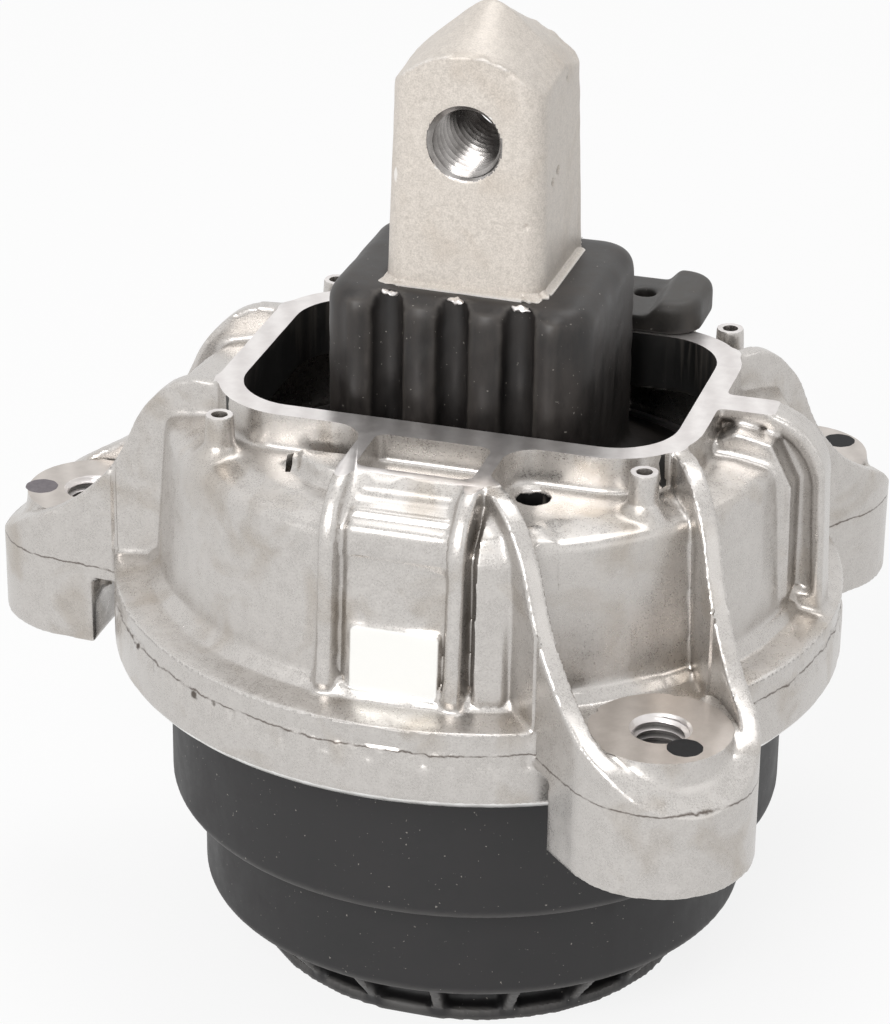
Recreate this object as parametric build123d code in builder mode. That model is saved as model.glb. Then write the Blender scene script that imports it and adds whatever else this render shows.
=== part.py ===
from build123d import *
import math
import os

# Hydraulic engine mount, in millimetres.
# The origin is on the axis of the round body, at the flat base of the cup.
# +Z is up, the long side of the window runs along X, and one ear points to -X.

# Lower cup: three stepped rings standing on a flat base
base_radius = 41.9
base_thickness = 2.6
low_ring_radius = 52.4
low_ring_z = 11.9
high_ring_radius = 58.6
high_ring_z = 32.3
cup_wall = 3.0
cup_edge_round = 1.6
cup_flange_radius = 64.0
cup_flange_thickness = 2.9
cup_rib_count = 20
cup_rib_thickness = 2.0
cup_rib_core_radius = 38.5
cup_notch_width = 1.4
cup_notch_depth = 0.9
cup_notch_height = 2.4
cup_rib_phase = 7.5

# Housing: rim, dome and flat window plate
rim_radius = 69.1
rim_z = 61.1
rim_top_z = 76.4
rim_chamfer_height = 1.7
rim_chamfer_depth = 1.6
rim_bore_radius = 64.3
lip_thickness = 1.4
lip_radius = 59.3
shoulder_z = 72.6
flange_slope = 1.4
dome_foot_radius = 60.6
dome_top_radius = 58.4
dome_foot_round = 3.0
dome_round = 2.5
shelf_flat_radius = 51.0
shelf_drop = 1.4
shelf_round = 9.0
shelf_z = 108.5
plate_z = 115.5
shell_thickness = 4.4
cavity_round = 5.0
window_length = 82.0
window_width = 52.5
window_corner = 12.0
window_frame = 4.6

# Housing: front and rear bridges of the plate; outlines give distance from the axis and depth under the plate
bridge_x = 0.9
bridge_half_width = 11.75
bridge_fillet = 6.0
bridge_face = ((47.8, 0.0), (51.2, 1.5), (55.3, 4.3), (58.4, 6.7), (58.8, 12.0))
bridge_pocket_length = 21.4
bridge_pocket_width = 14.1
bridge_pocket_depth = 5.4
bridge_pocket_y = 39.95
bridge_pocket_corner = 2.0
bridge_rib_thickness = 3.2
bridge_rib_brow = ((47.8, 0.0), (56.6, 4.0), (59.2, 11.5))
bridge_rib_reach = 61.0
bridge_rib_flare = 1.8
bridge_rib_flare_height = 2.4
bridge_pad_length = 16.4
bridge_pad_x = 1.8
bridge_pad_z = 78.3
bridge_pad_top_z = 91.0
bridge_pad_reach = 60.9
bridge_pad_top_reach = 59.9
rear_seat_half_width = 28.0
rear_seat_reach = 46.6

# Housing: rib at the end of the window, strips beside the bridges, a nub and a hole on the shelf
end_rib_half = 3.4
end_rib_web_half = 1.9
end_rib_bead = 2.2
end_rib_brow = ((54.6, 0.0), (62.6, 4.0), (65.8, 13.0))
end_rib_reach = 66.7
end_rib_trough_z = 80.0
end_ridge_half = 8.0
end_ridge_outline = ((50.0, 2.6), (56.5, 4.0), (60.6, 12.0), (60.9, 34.0))
strip_angle = 72.3
strip_outline = ((2.8, 36.8), (2.8, 9.5), (0.8, 3.6))
strip_profile = ((62.2, 36.8), (60.4, 11.0), (58.6, 6.5), (53.0, 3.0))
nub_outline = ((-26.0, -36.0), (-24.0, -33.0), (-10.0, -33.0), (-10.0, -44.0), (-18.0, -42.0))
nub_height = 2.0
shelf_hole_radius = 3.1
shelf_hole_x = 19.9
shelf_hole_y = 35.7

# Housing: hollow pins on the shelf
pin_x = 39.4
pin_y = 34.0
pin_top_z = 115.9
pin_top_radius = 2.55
pin_draft = 3.0
pin_flare_radius = 4.2
pin_flare_height = 1.0
pin_hole_radius = 1.45
pin_hole_depth = 6.0

# Housing: fastening ears; the crest gives distance from the axis and depth under the plate
ear_angles = (180.0, -50.3, 50.3)
ear_circle_radius = 78.3
ear_radius = 17.3
ear_root_half_width = 20.8
ear_root_radius = 42.0
ear_crest = ((49.5, 0.4), (57.3, 4.9), (61.0, 9.5), (64.5, 17.0), (71.1, 26.1), (78.0, 31.9), (86.0, 36.3))
ear_end_z = 71.5
ear_web = 3.6
ear_base_z = 55.9
ear_floor_z = 76.8
ear_skirt_radius = 71.6
ear_slot_z = 69.6
pad_radius = 12.6
pad_z = 80.0
pad_root_depth = 12.5
ear_thread_core_radius = 4.2
ear_mouth_chamfer = 1.3
ear_rib_thickness = 3.0
ear_rib_offset = 12.3
ear_rib_outline = ((61.9, 38.5), (61.9, 14.0), (58.0, 8.2), (51.0, 6.6))

# Core post, cast round the cross hole; each arch gives heights at its crown, haunch and edge
post_half_width = 15.7
post_top_half_width = 14.0
post_draft_z = 174.0
post_corner = 4.2
post_haunch_x = 6.0
post_edge_x = 12.6
post_edge_slope = 1.15
post_front_arch = (179.6, 178.9, 175.0)
post_crest_arch = (186.5, 182.9, 177.0)
post_rear_arch = (178.7, 177.7, 172.9)
post_crest_y = 2.0
post_hole_z = 164.7
post_thread_core_radius = 5.95
post_mouth_chamfer = 1.0
core_square_z = 102.0
core_cone_radius = 19.0
core_tip_radius = 9.0
core_tip_z = 87.0

# Rubber spring: fluted block round the post and the cone below it
block_half_width = 24.9
block_half_depth = 20.5
block_corner = 7.0
block_top_z = 137.0
block_top_round = 4.0
flute_pitch = 12.2
flute_count = 3
flute_width = 5.4
flute_depth = 1.8
flute_top_z = 134.0
cone_top_z = 103.0
cone_neck_margin = 2.0
cone_waist_margin = 8.0
cone_waist_drop = 5.0
cone_foot_top_z = 87.0
cone_foot_z = 73.2
cone_foot_width = 5.0
cone_skin = 3.0
core_skin = 2.0
buffer_radius = 10.0
buffer_x = 33.0
buffer_z = 88.0
bond_gap = 0.1

# Outer ring, channel plates, membrane and bellows, stacked in the rim
seat_gap = 0.3
ring_flange_thickness = 1.9
ring_wall = 2.6
ring_top_z = 88.0
plate_thickness = 2.6
plate_core_thickness = 5.0
upper_core_radius = 46.0
lower_core_radius = 47.0
channel_radius = 40.5
channel_width = 6.4
channel_depth = 2.6
channel_port_radius = 2.6
channel_arc = 300.0
membrane_radius = 30.0
membrane_thickness = 2.0
membrane_gap = 0.25
membrane_rib_height = 0.2
port_radius = 2.2
outer_port_count = 12
outer_port_circle = 23.0
inner_port_count = 6
inner_port_circle = 12.0
bellows_thickness = 1.6
bellows_radius = 50.8
bellows_floor_z = 47.0
bellows_bend = 10.0
bellows_ring_thickness = 2.8
bellows_ring_width = 3.6

# Stop strip on the rear of the plate
stop_half_length = 34.2
stop_front_y = 26.7
stop_rear_y = 46.4
stop_thickness = 3.5
stop_lobe_height = 2.8
stop_lobe_x = 27.0
stop_lobe_slope = 2.5
stop_lobe_round = 2.0
stop_corner = 6.0
stop_hole_radius = 2.1
stop_hole_x = 21.5
stop_hole_y = 38.5

# Small allowances
cut_margin = 1.0
weld_depth = 6.0

# Heights and radii that follow from the values above
lip_top_z = rim_z + lip_thickness
cup_flange_z = lip_top_z + cup_flange_thickness
lower_plate_z = cup_flange_z + plate_thickness
upper_plate_z = lower_plate_z + plate_thickness
ring_flange_z = upper_plate_z + ring_flange_thickness
dome_bore_radius = dome_foot_radius - shell_thickness
ring_outer_radius = dome_bore_radius - seat_gap
ring_bore_radius = ring_outer_radius - ring_wall
ceiling_z = shelf_z - shell_thickness
cup_bore_radius = high_ring_radius - cup_wall
ledge_z = cup_flange_z - bellows_thickness - bellows_ring_thickness
membrane_recess = membrane_thickness / 2 + membrane_gap
frame_width = window_width + 2 * window_frame
bridge_reach = bridge_face[0][0]
ear_reach = ear_circle_radius + ear_radius
post_draft = (post_half_width - post_top_half_width) / (post_draft_z - core_square_z)
post_hole_half_width = post_half_width - (post_hole_z - core_square_z) * post_draft


# A flat face with straight sides through the given points
def face_of(points):
    Polygon(*points, align=None)


# Distances from the axis with the heights that lie a given depth under the plate
def under_plate(points):
    return [(reach, plate_z - depth) for reach, depth in points]


# The plane that holds the axis at one angle: local X runs outward, local Y is height
def side_plane(angle, offset=0.0):
    turn = math.radians(angle)
    outward = Vector(math.cos(turn), math.sin(turn), 0)
    across = Vector(math.sin(turn), -math.cos(turn), 0)
    return Plane(origin=across * -offset, x_dir=outward, z_dir=across)


# Outline of an ear seen from above, less an inset all round
def ear_outline(inset):
    with Locations((ear_circle_radius, 0)):
        Circle(ear_radius - inset)
    half_root = ear_root_half_width - inset
    half_tip = ear_radius - inset
    face_of([
        (ear_root_radius, -half_root),
        (ear_circle_radius, -half_tip),
        (ear_circle_radius, half_tip),
        (ear_root_radius, half_root),
    ])


# One ear, pointing along +X: two webs whose crests sweep down from the plate, and a skirt below
with BuildPart() as ear:
    with BuildSketch(Plane.XY.offset(ear_base_z)):
        ear_outline(0)
    extrude(amount=plate_z - ear_base_z)
    with BuildSketch(side_plane(0)):
        with BuildLine():
            crest = Spline(
                *under_plate(ear_crest),
                (ear_reach, ear_end_z),
                tangents=((1, -0.15), (1, -0.8)),
            )
            Polyline(
                crest @ 1,
                (ear_reach, ear_base_z),
                (ear_skirt_radius, ear_base_z),
                (ear_skirt_radius, ear_slot_z),
                (ear_root_radius, ear_slot_z),
                (ear_root_radius, plate_z),
                crest @ 0,
            )
        make_face()
    extrude(amount=2 * ear_radius, both=True, mode=Mode.INTERSECT)
    with BuildSketch(Plane.XY.offset(ear_floor_z)):
        ear_outline(ear_web)
    extrude(amount=plate_z - ear_floor_z, mode=Mode.SUBTRACT)
    with BuildSketch(Plane.XY.offset(pad_z)):
        with Locations((ear_circle_radius, 0)):
            Circle(pad_radius)
    extrude(amount=-pad_root_depth)

# Broad rib at the end of the window, pointing along +X: a beaded crest on a thin web
with BuildPart() as end_rib:
    for inset, half, start in ((0, end_rib_half, 0), (end_rib_bead, end_rib_half, end_rib_web_half)):
        foot_z = end_rib_trough_z if inset else rim_top_z
        for side in (-1, 1):
            with BuildSketch(side_plane(0, side * start)):
                with BuildLine():
                    brow = ThreePointArc(*[
                        (reach - inset, height - inset) for reach, height in under_plate(end_rib_brow)
                    ])
                    Polyline(
                        brow @ 1,
                        (end_rib_reach - inset, foot_z),
                        (dome_bore_radius, foot_z),
                        (dome_bore_radius, ceiling_z),
                        (window_length / 2 + cut_margin, plate_z - inset),
                        brow @ 0,
                    )
                make_face()
            extrude(amount=-side * (half - start), mode=Mode.SUBTRACT if inset else Mode.ADD)

# Raised strip beside a bridge, pointing along +X, with a pointed top
with BuildPart() as side_strip:
    with BuildSketch(Plane.YZ):
        face_of(
            under_plate(strip_outline)
            + [(-across, height) for across, height in reversed(under_plate(strip_outline))]
        )
    extrude(amount=rim_radius)
    with BuildSketch(side_plane(0)):
        face_of(
            under_plate(strip_profile)
            + [(dome_bore_radius - weld_depth, shelf_z), (dome_bore_radius, rim_top_z)]
        )
    extrude(amount=rim_radius, both=True, mode=Mode.INTERSECT)

with BuildPart() as housing:
    # Rim, flange and dome, turned as one solid form
    with BuildSketch(Plane.XZ):
        with BuildLine():
            Polyline(
                (0, shelf_z),
                (0, rim_z),
                (rim_radius - rim_chamfer_depth, rim_z),
                (rim_radius, rim_z + rim_chamfer_height),
                (rim_radius, rim_top_z),
            )
            FilletPolyline(
                (rim_radius, rim_top_z),
                (dome_foot_radius, rim_top_z + flange_slope),
                (dome_top_radius, shelf_z - shelf_drop),
                (shelf_flat_radius, shelf_z),
                (0, shelf_z),
                radius=[dome_foot_round, dome_round, shelf_round],
            )
        make_face()
    revolve(axis=Axis.Z)

    # Plate round the window, its front and rear bridges and the seat of the stop strip
    with BuildSketch(Plane.XY.offset(plate_z)):
        RectangleRounded(window_length + 2 * window_frame, frame_width, window_corner + window_frame)
        with Locations((bridge_x, 0)):
            Rectangle(2 * bridge_half_width + bridge_rib_thickness, 2 * bridge_reach)
        inner_corners = vertices().filter_by(
            lambda v: math.isclose(abs(v.Y), frame_width / 2) and abs(v.X) < 2 * bridge_half_width
        )
        fillet(inner_corners, bridge_fillet)
        with Locations((0, rear_seat_reach / 2)):
            Rectangle(2 * rear_seat_half_width, rear_seat_reach)
    extrude(amount=shelf_z - plate_z - cut_margin)

    # Ears and the rib at the end of the window
    for angle in ear_angles:
        add(ear.part, rotation=(0, 0, angle))
    add(end_rib.part)
    with BuildSketch(side_plane(0)):
        face_of(
            under_plate(end_ridge_outline)
            + [(dome_bore_radius, rim_top_z), (window_length / 2 + cut_margin, shelf_z)]
        )
    extrude(amount=end_ridge_half, both=True)

    # Front and rear bridges: a stepped slope, a flat pad low on the dome and a rib at each side
    for side in (-1, 1):
        with BuildSketch(side_plane(side * 90, -side * bridge_x)):
            face_of(
                under_plate(bridge_face)
                + [
                    (bridge_reach, bridge_pad_top_z),
                    (bridge_reach - weld_depth, shelf_z),
                    (bridge_reach - cut_margin, plate_z),
                ]
            )
        extrude(amount=bridge_half_width, both=True)
        with BuildSketch(side_plane(side * 90, -side * bridge_pad_x)):
            face_of([
                (dome_bore_radius, bridge_pad_z),
                (bridge_pad_reach, bridge_pad_z),
                (bridge_pad_top_reach, bridge_pad_top_z),
                (dome_bore_radius, bridge_pad_top_z),
            ])
        extrude(amount=bridge_pad_length / 2, both=True)
        for rib_x in (bridge_x - bridge_half_width, bridge_x + bridge_half_width):
            with BuildSketch(side_plane(side * 90, -side * rib_x)):
                with BuildLine():
                    brow = ThreePointArc(*under_plate(bridge_rib_brow))
                    Polyline(
                        brow @ 1,
                        (bridge_rib_reach, rim_top_z + bridge_rib_flare_height),
                        (bridge_rib_reach + bridge_rib_flare, rim_top_z),
                        (dome_bore_radius - cut_margin, rim_top_z),
                        (dome_bore_radius - weld_depth, shelf_z),
                        (bridge_reach - cut_margin, shelf_z),
                        (bridge_reach - cut_margin, plate_z),
                        brow @ 0,
                    )
                make_face()
            extrude(amount=bridge_rib_thickness / 2, both=True)
        add(side_strip.part, rotation=(0, 0, side * strip_angle))

    # Thin ribs between the dome and the two ears of the window's side, each on its bridge's side
    for angle in ear_angles[1:]:
        with BuildSketch(side_plane(angle, math.copysign(ear_rib_offset, angle))):
            face_of(
                under_plate(ear_rib_outline)
                + [(dome_bore_radius - weld_depth, shelf_z), (dome_bore_radius, rim_top_z)]
            )
        extrude(amount=ear_rib_thickness / 2, both=True)

    # Low nub beside the front bridge
    with BuildSketch(Plane.XY.offset(shelf_z)):
        face_of(nub_outline)
    extrude(amount=nub_height)

    # Hollow pins on the shelf, drafted, with flared feet
    pin_foot_z = shelf_z - shelf_drop
    pin_rise = pin_top_z - pin_foot_z
    with BuildSketch(Plane.XY.offset(pin_foot_z)):
        with GridLocations(2 * pin_x, 2 * pin_y, 2, 2):
            Circle(pin_top_radius + pin_rise * math.tan(math.radians(pin_draft)))
    extrude(amount=pin_rise, taper=pin_draft)
    with BuildSketch(Plane.XY.offset(pin_foot_z)):
        with GridLocations(2 * pin_x, 2 * pin_y, 2, 2):
            Circle(pin_flare_radius + shelf_drop)
    extrude(amount=shelf_drop + pin_flare_height, taper=45)
    with BuildSketch(Plane.XY.offset(pin_top_z)):
        with GridLocations(2 * pin_x, 2 * pin_y, 2, 2):
            Circle(pin_hole_radius)
    extrude(amount=-pin_hole_depth, mode=Mode.SUBTRACT)

    # Cavity under the dome, bore of the rim and its lower lip
    with BuildSketch(Plane.XZ):
        with BuildLine():
            Polyline(
                (0, ceiling_z),
                (0, rim_z),
                (lip_radius, rim_z),
                (lip_radius, lip_top_z),
                (rim_bore_radius, lip_top_z),
                (rim_bore_radius, shoulder_z),
                (dome_bore_radius, shoulder_z),
            )
            FilletPolyline(
                (dome_bore_radius, shoulder_z),
                (dome_top_radius - shell_thickness, ceiling_z),
                (0, ceiling_z),
                radius=cavity_round,
            )
        make_face()
    revolve(axis=Axis.Z, mode=Mode.SUBTRACT)

    # Window through the plate
    with BuildSketch(Plane.XY.offset(plate_z)):
        RectangleRounded(window_length, window_width, window_corner)
    extrude(amount=ceiling_z - plate_z - cut_margin, mode=Mode.SUBTRACT)

    # Pocket in each bridge and round hole through the shelf
    with BuildSketch(Plane.XY.offset(plate_z)):
        with Locations((bridge_x, -bridge_pocket_y), (bridge_x, bridge_pocket_y)):
            RectangleRounded(bridge_pocket_length, bridge_pocket_width, bridge_pocket_corner)
    extrude(amount=-bridge_pocket_depth, mode=Mode.SUBTRACT)
    with BuildSketch(Plane.XY.offset(shelf_z)):
        with Locations((shelf_hole_x, -shelf_hole_y)):
            Circle(shelf_hole_radius)
    extrude(amount=-2 * shell_thickness, mode=Mode.SUBTRACT)

    # Tapped holes of the ears, at their core size, with chamfered mouths
    with BuildSketch(Plane.XY.offset(pad_z)):
        for angle in ear_angles:
            with PolarLocations(ear_circle_radius, 1, start_angle=angle):
                Circle(ear_thread_core_radius)
    extrude(amount=ear_base_z - pad_z, mode=Mode.SUBTRACT)
    with BuildSketch(Plane.XY.offset(pad_z)):
        for angle in ear_angles:
            with PolarLocations(ear_circle_radius, 1, start_angle=angle):
                Circle(ear_thread_core_radius + ear_mouth_chamfer)
    extrude(amount=-ear_mouth_chamfer, taper=45, mode=Mode.SUBTRACT)

# Vaulted top of the post: arches over the front face, the crest and the rear face
with BuildPart() as post_vault:
    vault_reach = post_half_width + cut_margin
    for arch_y, (crown_z, haunch_z, edge_z) in (
        (-vault_reach, post_front_arch),
        (post_crest_y, post_crest_arch),
        (vault_reach, post_rear_arch),
    ):
        with BuildSketch(Plane.XZ.offset(-arch_y)):
            with BuildLine():
                half_arch = [
                    (0, crown_z),
                    (post_haunch_x, haunch_z),
                    (post_edge_x, edge_z),
                    (vault_reach, edge_z - (vault_reach - post_edge_x) * post_edge_slope),
                ]
                arch = Spline(*[(-x, z) for x, z in reversed(half_arch[1:])], *half_arch)
                Polyline(arch @ 1, (vault_reach, core_tip_z), (-vault_reach, core_tip_z), arch @ 0)
            make_face()
    loft(ruled=True)

# Core post: a drafted square post under the vault, and a cone inside the rubber
with BuildPart() as core_post:
    with BuildSketch(Plane.XY.offset(core_square_z)):
        RectangleRounded(2 * post_half_width, 2 * post_half_width, post_corner)
    with BuildSketch(Plane.XY.offset(post_draft_z)):
        RectangleRounded(2 * post_top_half_width, 2 * post_top_half_width, post_corner)
    loft()
    with BuildSketch(Plane.XY.offset(post_draft_z)):
        RectangleRounded(2 * post_top_half_width, 2 * post_top_half_width, post_corner)
    extrude(amount=post_crest_arch[0] - post_draft_z)
    add(post_vault.part, mode=Mode.INTERSECT)
    with BuildSketch(Plane.XZ):
        face_of([
            (0, core_square_z),
            (core_cone_radius, core_square_z),
            (core_tip_radius, core_tip_z),
            (0, core_tip_z),
        ])
    revolve(axis=Axis.Z)
    with BuildSketch(Plane.XZ):
        with Locations((0, post_hole_z)):
            Circle(post_thread_core_radius)
    extrude(amount=vault_reach, both=True, mode=Mode.SUBTRACT)
    for side in (-1, 1):
        with BuildSketch(Plane.XZ.offset(side * (post_hole_half_width + cut_margin))):
            with Locations((0, post_hole_z)):
                Circle(post_thread_core_radius + post_mouth_chamfer + cut_margin)
        extrude(amount=-side * (post_mouth_chamfer + cut_margin), taper=45, mode=Mode.SUBTRACT)

# Rubber spring: a fluted block round the post, on a cone that carries it to the outer ring
with BuildPart() as rubber_spring:
    with BuildSketch(Plane.XY.offset(cone_foot_top_z)):
        RectangleRounded(2 * block_half_width, 2 * block_half_depth, block_corner)
    extrude(amount=block_top_z - cone_foot_top_z)
    fillet(rubber_spring.faces().sort_by(Axis.Z)[-1].edges(), block_top_round)
    for side in (-1, 1):
        with BuildSketch(Plane.XY.offset(cone_foot_top_z)):
            with Locations((0, side * block_half_depth)):
                with GridLocations(flute_pitch, 1, flute_count, 1):
                    Ellipse(flute_width / 2, flute_depth)
        extrude(amount=flute_top_z - cone_foot_top_z, mode=Mode.SUBTRACT)
    cone_edge_radius = ring_bore_radius - bond_gap
    with BuildSketch(Plane.XZ):
        face_of([
            (0, cone_top_z),
            (block_half_depth + cone_neck_margin, cone_top_z),
            (block_half_width + cone_waist_margin, cone_top_z - cone_waist_drop),
            (cone_edge_radius, cone_foot_top_z),
            (cone_edge_radius, cone_foot_z),
            (cone_edge_radius - cone_foot_width, cone_foot_z),
            (core_cone_radius + core_skin, core_tip_z),
            (core_tip_radius + core_skin, core_tip_z - cone_skin),
            (0, core_tip_z - cone_skin),
        ])
    revolve(axis=Axis.Z)
    # Two round buffers that meet the housing when the mount is pushed sideways
    with Locations((-buffer_x, 0, buffer_z), (buffer_x, 0, buffer_z)):
        Sphere(buffer_radius)
    # Seat of the core
    seat_half_width = post_half_width + bond_gap
    seat_top_half_width = post_top_half_width + bond_gap
    with BuildSketch(Plane.XY.offset(core_square_z)):
        RectangleRounded(2 * seat_half_width, 2 * seat_half_width, post_corner)
    with BuildSketch(Plane.XY.offset(post_draft_z)):
        RectangleRounded(2 * seat_top_half_width, 2 * seat_top_half_width, post_corner)
    loft(mode=Mode.SUBTRACT)
    with BuildSketch(Plane.XZ):
        face_of([
            (0, core_square_z + bond_gap),
            (core_cone_radius + bond_gap, core_square_z + bond_gap),
            (core_tip_radius + bond_gap, core_tip_z - bond_gap),
            (0, core_tip_z - bond_gap),
        ])
    revolve(axis=Axis.Z, mode=Mode.SUBTRACT)

# Outer ring that the rubber cone is bonded to, with a flange under the housing's shoulder
with BuildPart() as spring_outer_ring:
    with BuildSketch(Plane.XZ):
        face_of([
            (ring_bore_radius, upper_plate_z),
            (cup_flange_radius, upper_plate_z),
            (cup_flange_radius, ring_flange_z),
            (ring_outer_radius, ring_flange_z),
            (ring_outer_radius - 1.5, ring_top_z),
            (ring_bore_radius, ring_top_z),
        ])
    revolve(axis=Axis.Z)

# Upper half of the channel plate: sieve over the membrane and roof of the ring channel
with BuildPart() as upper_channel_plate:
    with BuildSketch(Plane.XY.offset(lower_plate_z)):
        Circle(cup_flange_radius)
    extrude(amount=plate_thickness)
    with BuildSketch(Plane.XY.offset(lower_plate_z)):
        Circle(upper_core_radius)
    extrude(amount=plate_core_thickness)
    with BuildSketch(Plane.XY.offset(lower_plate_z)):
        Circle(membrane_radius + membrane_gap)
    extrude(amount=membrane_recess, mode=Mode.SUBTRACT)
    with BuildSketch(Plane.XY.offset(lower_plate_z)):
        Circle(channel_radius + channel_width / 2)
        Circle(channel_radius - channel_width / 2, mode=Mode.SUBTRACT)
    extrude(amount=channel_depth, mode=Mode.SUBTRACT)
    with BuildSketch(Plane.XY.offset(lower_plate_z)):
        with PolarLocations(outer_port_circle, outer_port_count):
            Circle(port_radius)
        with PolarLocations(inner_port_circle, inner_port_count):
            Circle(port_radius)
        with Locations((channel_radius, 0)):
            Circle(channel_port_radius)
    extrude(amount=plate_core_thickness, mode=Mode.SUBTRACT)

# Lower half of the channel plate
with BuildPart() as lower_channel_plate:
    with BuildSketch(Plane.XY.offset(lower_plate_z)):
        Circle(cup_flange_radius)
    extrude(amount=-plate_thickness)
    with BuildSketch(Plane.XY.offset(lower_plate_z)):
        Circle(lower_core_radius)
    extrude(amount=-plate_core_thickness)
    with BuildSketch(Plane.XY.offset(lower_plate_z)):
        Circle(membrane_radius + membrane_gap)
    extrude(amount=-membrane_recess, mode=Mode.SUBTRACT)
    with BuildSketch(Plane.XY.offset(lower_plate_z)):
        Circle(channel_radius + channel_width / 2)
        Circle(channel_radius - channel_width / 2, mode=Mode.SUBTRACT)
    extrude(amount=-channel_depth, mode=Mode.SUBTRACT)
    with BuildSketch(Plane.XY.offset(lower_plate_z)):
        with PolarLocations(outer_port_circle, outer_port_count):
            Circle(port_radius)
        with PolarLocations(inner_port_circle, inner_port_count):
            Circle(port_radius)
        with PolarLocations(channel_radius, 1, start_angle=channel_arc):
            Circle(channel_port_radius)
    extrude(amount=-plate_core_thickness, mode=Mode.SUBTRACT)

# Loose rubber disc that stops flow through the sieve when the mount moves far
with BuildPart() as decoupler_membrane:
    with BuildSketch(Plane.XY.offset(lower_plate_z - membrane_thickness / 2)):
        Circle(membrane_radius)
    extrude(amount=membrane_thickness)
    with BuildSketch(Plane.XY.offset(lower_plate_z - membrane_thickness / 2 - membrane_rib_height)):
        for rib_radius in (membrane_radius - 1.5, membrane_radius / 2):
            Circle(rib_radius)
            Circle(rib_radius - 1.2, mode=Mode.SUBTRACT)
    extrude(amount=membrane_thickness + 2 * membrane_rib_height)

# Thin rubber bellows that closes the lower fluid chamber
with BuildPart() as rolling_bellows:
    with BuildSketch(Plane.XZ):
        with BuildLine():
            outer = bellows_radius
            inner = bellows_radius - bellows_thickness
            flange_low_z = cup_flange_z - bellows_thickness
            Polyline(
                (outer - bellows_bend, bellows_floor_z),
                (0, bellows_floor_z + 3),
                (0, bellows_floor_z + 3 + bellows_thickness),
                (outer - bellows_bend, bellows_floor_z + bellows_thickness),
            )
            RadiusArc(
                (outer - bellows_bend, bellows_floor_z + bellows_thickness),
                (inner, bellows_floor_z + bellows_bend),
                -(bellows_bend - bellows_thickness),
            )
            Polyline(
                (inner, bellows_floor_z + bellows_bend),
                (inner, cup_flange_z),
                (cup_bore_radius - seat_gap, cup_flange_z),
                (cup_bore_radius - seat_gap, flange_low_z),
                (outer, flange_low_z),
                (outer, bellows_floor_z + bellows_bend),
            )
            RadiusArc(
                (outer, bellows_floor_z + bellows_bend),
                (outer - bellows_bend, bellows_floor_z),
                bellows_bend,
            )
        make_face()
    revolve(axis=Axis.Z)

# Ring that presses the edge of the bellows against the channel plate
with BuildPart() as bellows_ring:
    with BuildSketch(Plane.XY.offset(ledge_z)):
        Circle(cup_bore_radius - seat_gap)
        Circle(cup_bore_radius - seat_gap - bellows_ring_width, mode=Mode.SUBTRACT)
    extrude(amount=bellows_ring_thickness)

# Slanted ribs between the low ring of the cup and its base
with BuildPart() as cup_ribs:
    with BuildSketch(Plane.XZ):
        face_of([
            (cup_rib_core_radius - cup_wall / 2, base_thickness / 2),
            (base_radius - 0.6, base_thickness / 2),
            (low_ring_radius - 1.2, low_ring_z + 1),
            (cup_rib_core_radius - cup_wall / 2, low_ring_z + 1),
        ])
    revolve(axis=Axis.Z)
    with BuildSketch():
        with PolarLocations(low_ring_radius - 8, cup_rib_count, start_angle=cup_rib_phase):
            Rectangle(26, cup_rib_thickness)
    extrude(amount=2 * low_ring_z, mode=Mode.INTERSECT)

# Stepped plastic cup
with BuildPart() as lower_cup:
    with BuildSketch(Plane.XZ):
        with BuildLine():
            Polyline(
                (0, 0),
                (base_radius, 0),
                (base_radius, base_thickness),
                (cup_rib_core_radius, base_thickness),
                (cup_rib_core_radius, low_ring_z),
                (low_ring_radius - cup_edge_round, low_ring_z),
            )
            RadiusArc(
                (low_ring_radius - cup_edge_round, low_ring_z),
                (low_ring_radius, low_ring_z + cup_edge_round),
                -cup_edge_round,
            )
            Polyline(
                (low_ring_radius, low_ring_z + cup_edge_round),
                (low_ring_radius, high_ring_z),
                (high_ring_radius - cup_edge_round, high_ring_z),
            )
            RadiusArc(
                (high_ring_radius - cup_edge_round, high_ring_z),
                (high_ring_radius, high_ring_z + cup_edge_round),
                -cup_edge_round,
            )
            Polyline(
                (high_ring_radius, high_ring_z + cup_edge_round),
                (high_ring_radius, lip_top_z),
                (cup_flange_radius, lip_top_z),
                (cup_flange_radius, cup_flange_z),
                (cup_bore_radius, cup_flange_z),
                (cup_bore_radius, ledge_z),
                (cup_bore_radius - 2, ledge_z),
                (cup_bore_radius - 2, high_ring_z + cup_wall),
                (low_ring_radius - cup_wall, high_ring_z + cup_wall),
                (low_ring_radius - cup_wall, low_ring_z + cup_wall),
                (cup_rib_core_radius - cup_wall, low_ring_z + cup_wall),
                (cup_rib_core_radius - cup_wall, base_thickness),
                (0, base_thickness),
                (0, 0),
            )
        make_face()
    revolve(axis=Axis.Z)
    add(cup_ribs.part)
    with BuildSketch(Plane.XY.offset(high_ring_z)):
        with PolarLocations(low_ring_radius, cup_rib_count, start_angle=cup_rib_phase):
            Rectangle(2 * cup_notch_depth, cup_notch_width)
    extrude(amount=-cup_notch_height, mode=Mode.SUBTRACT)

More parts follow.
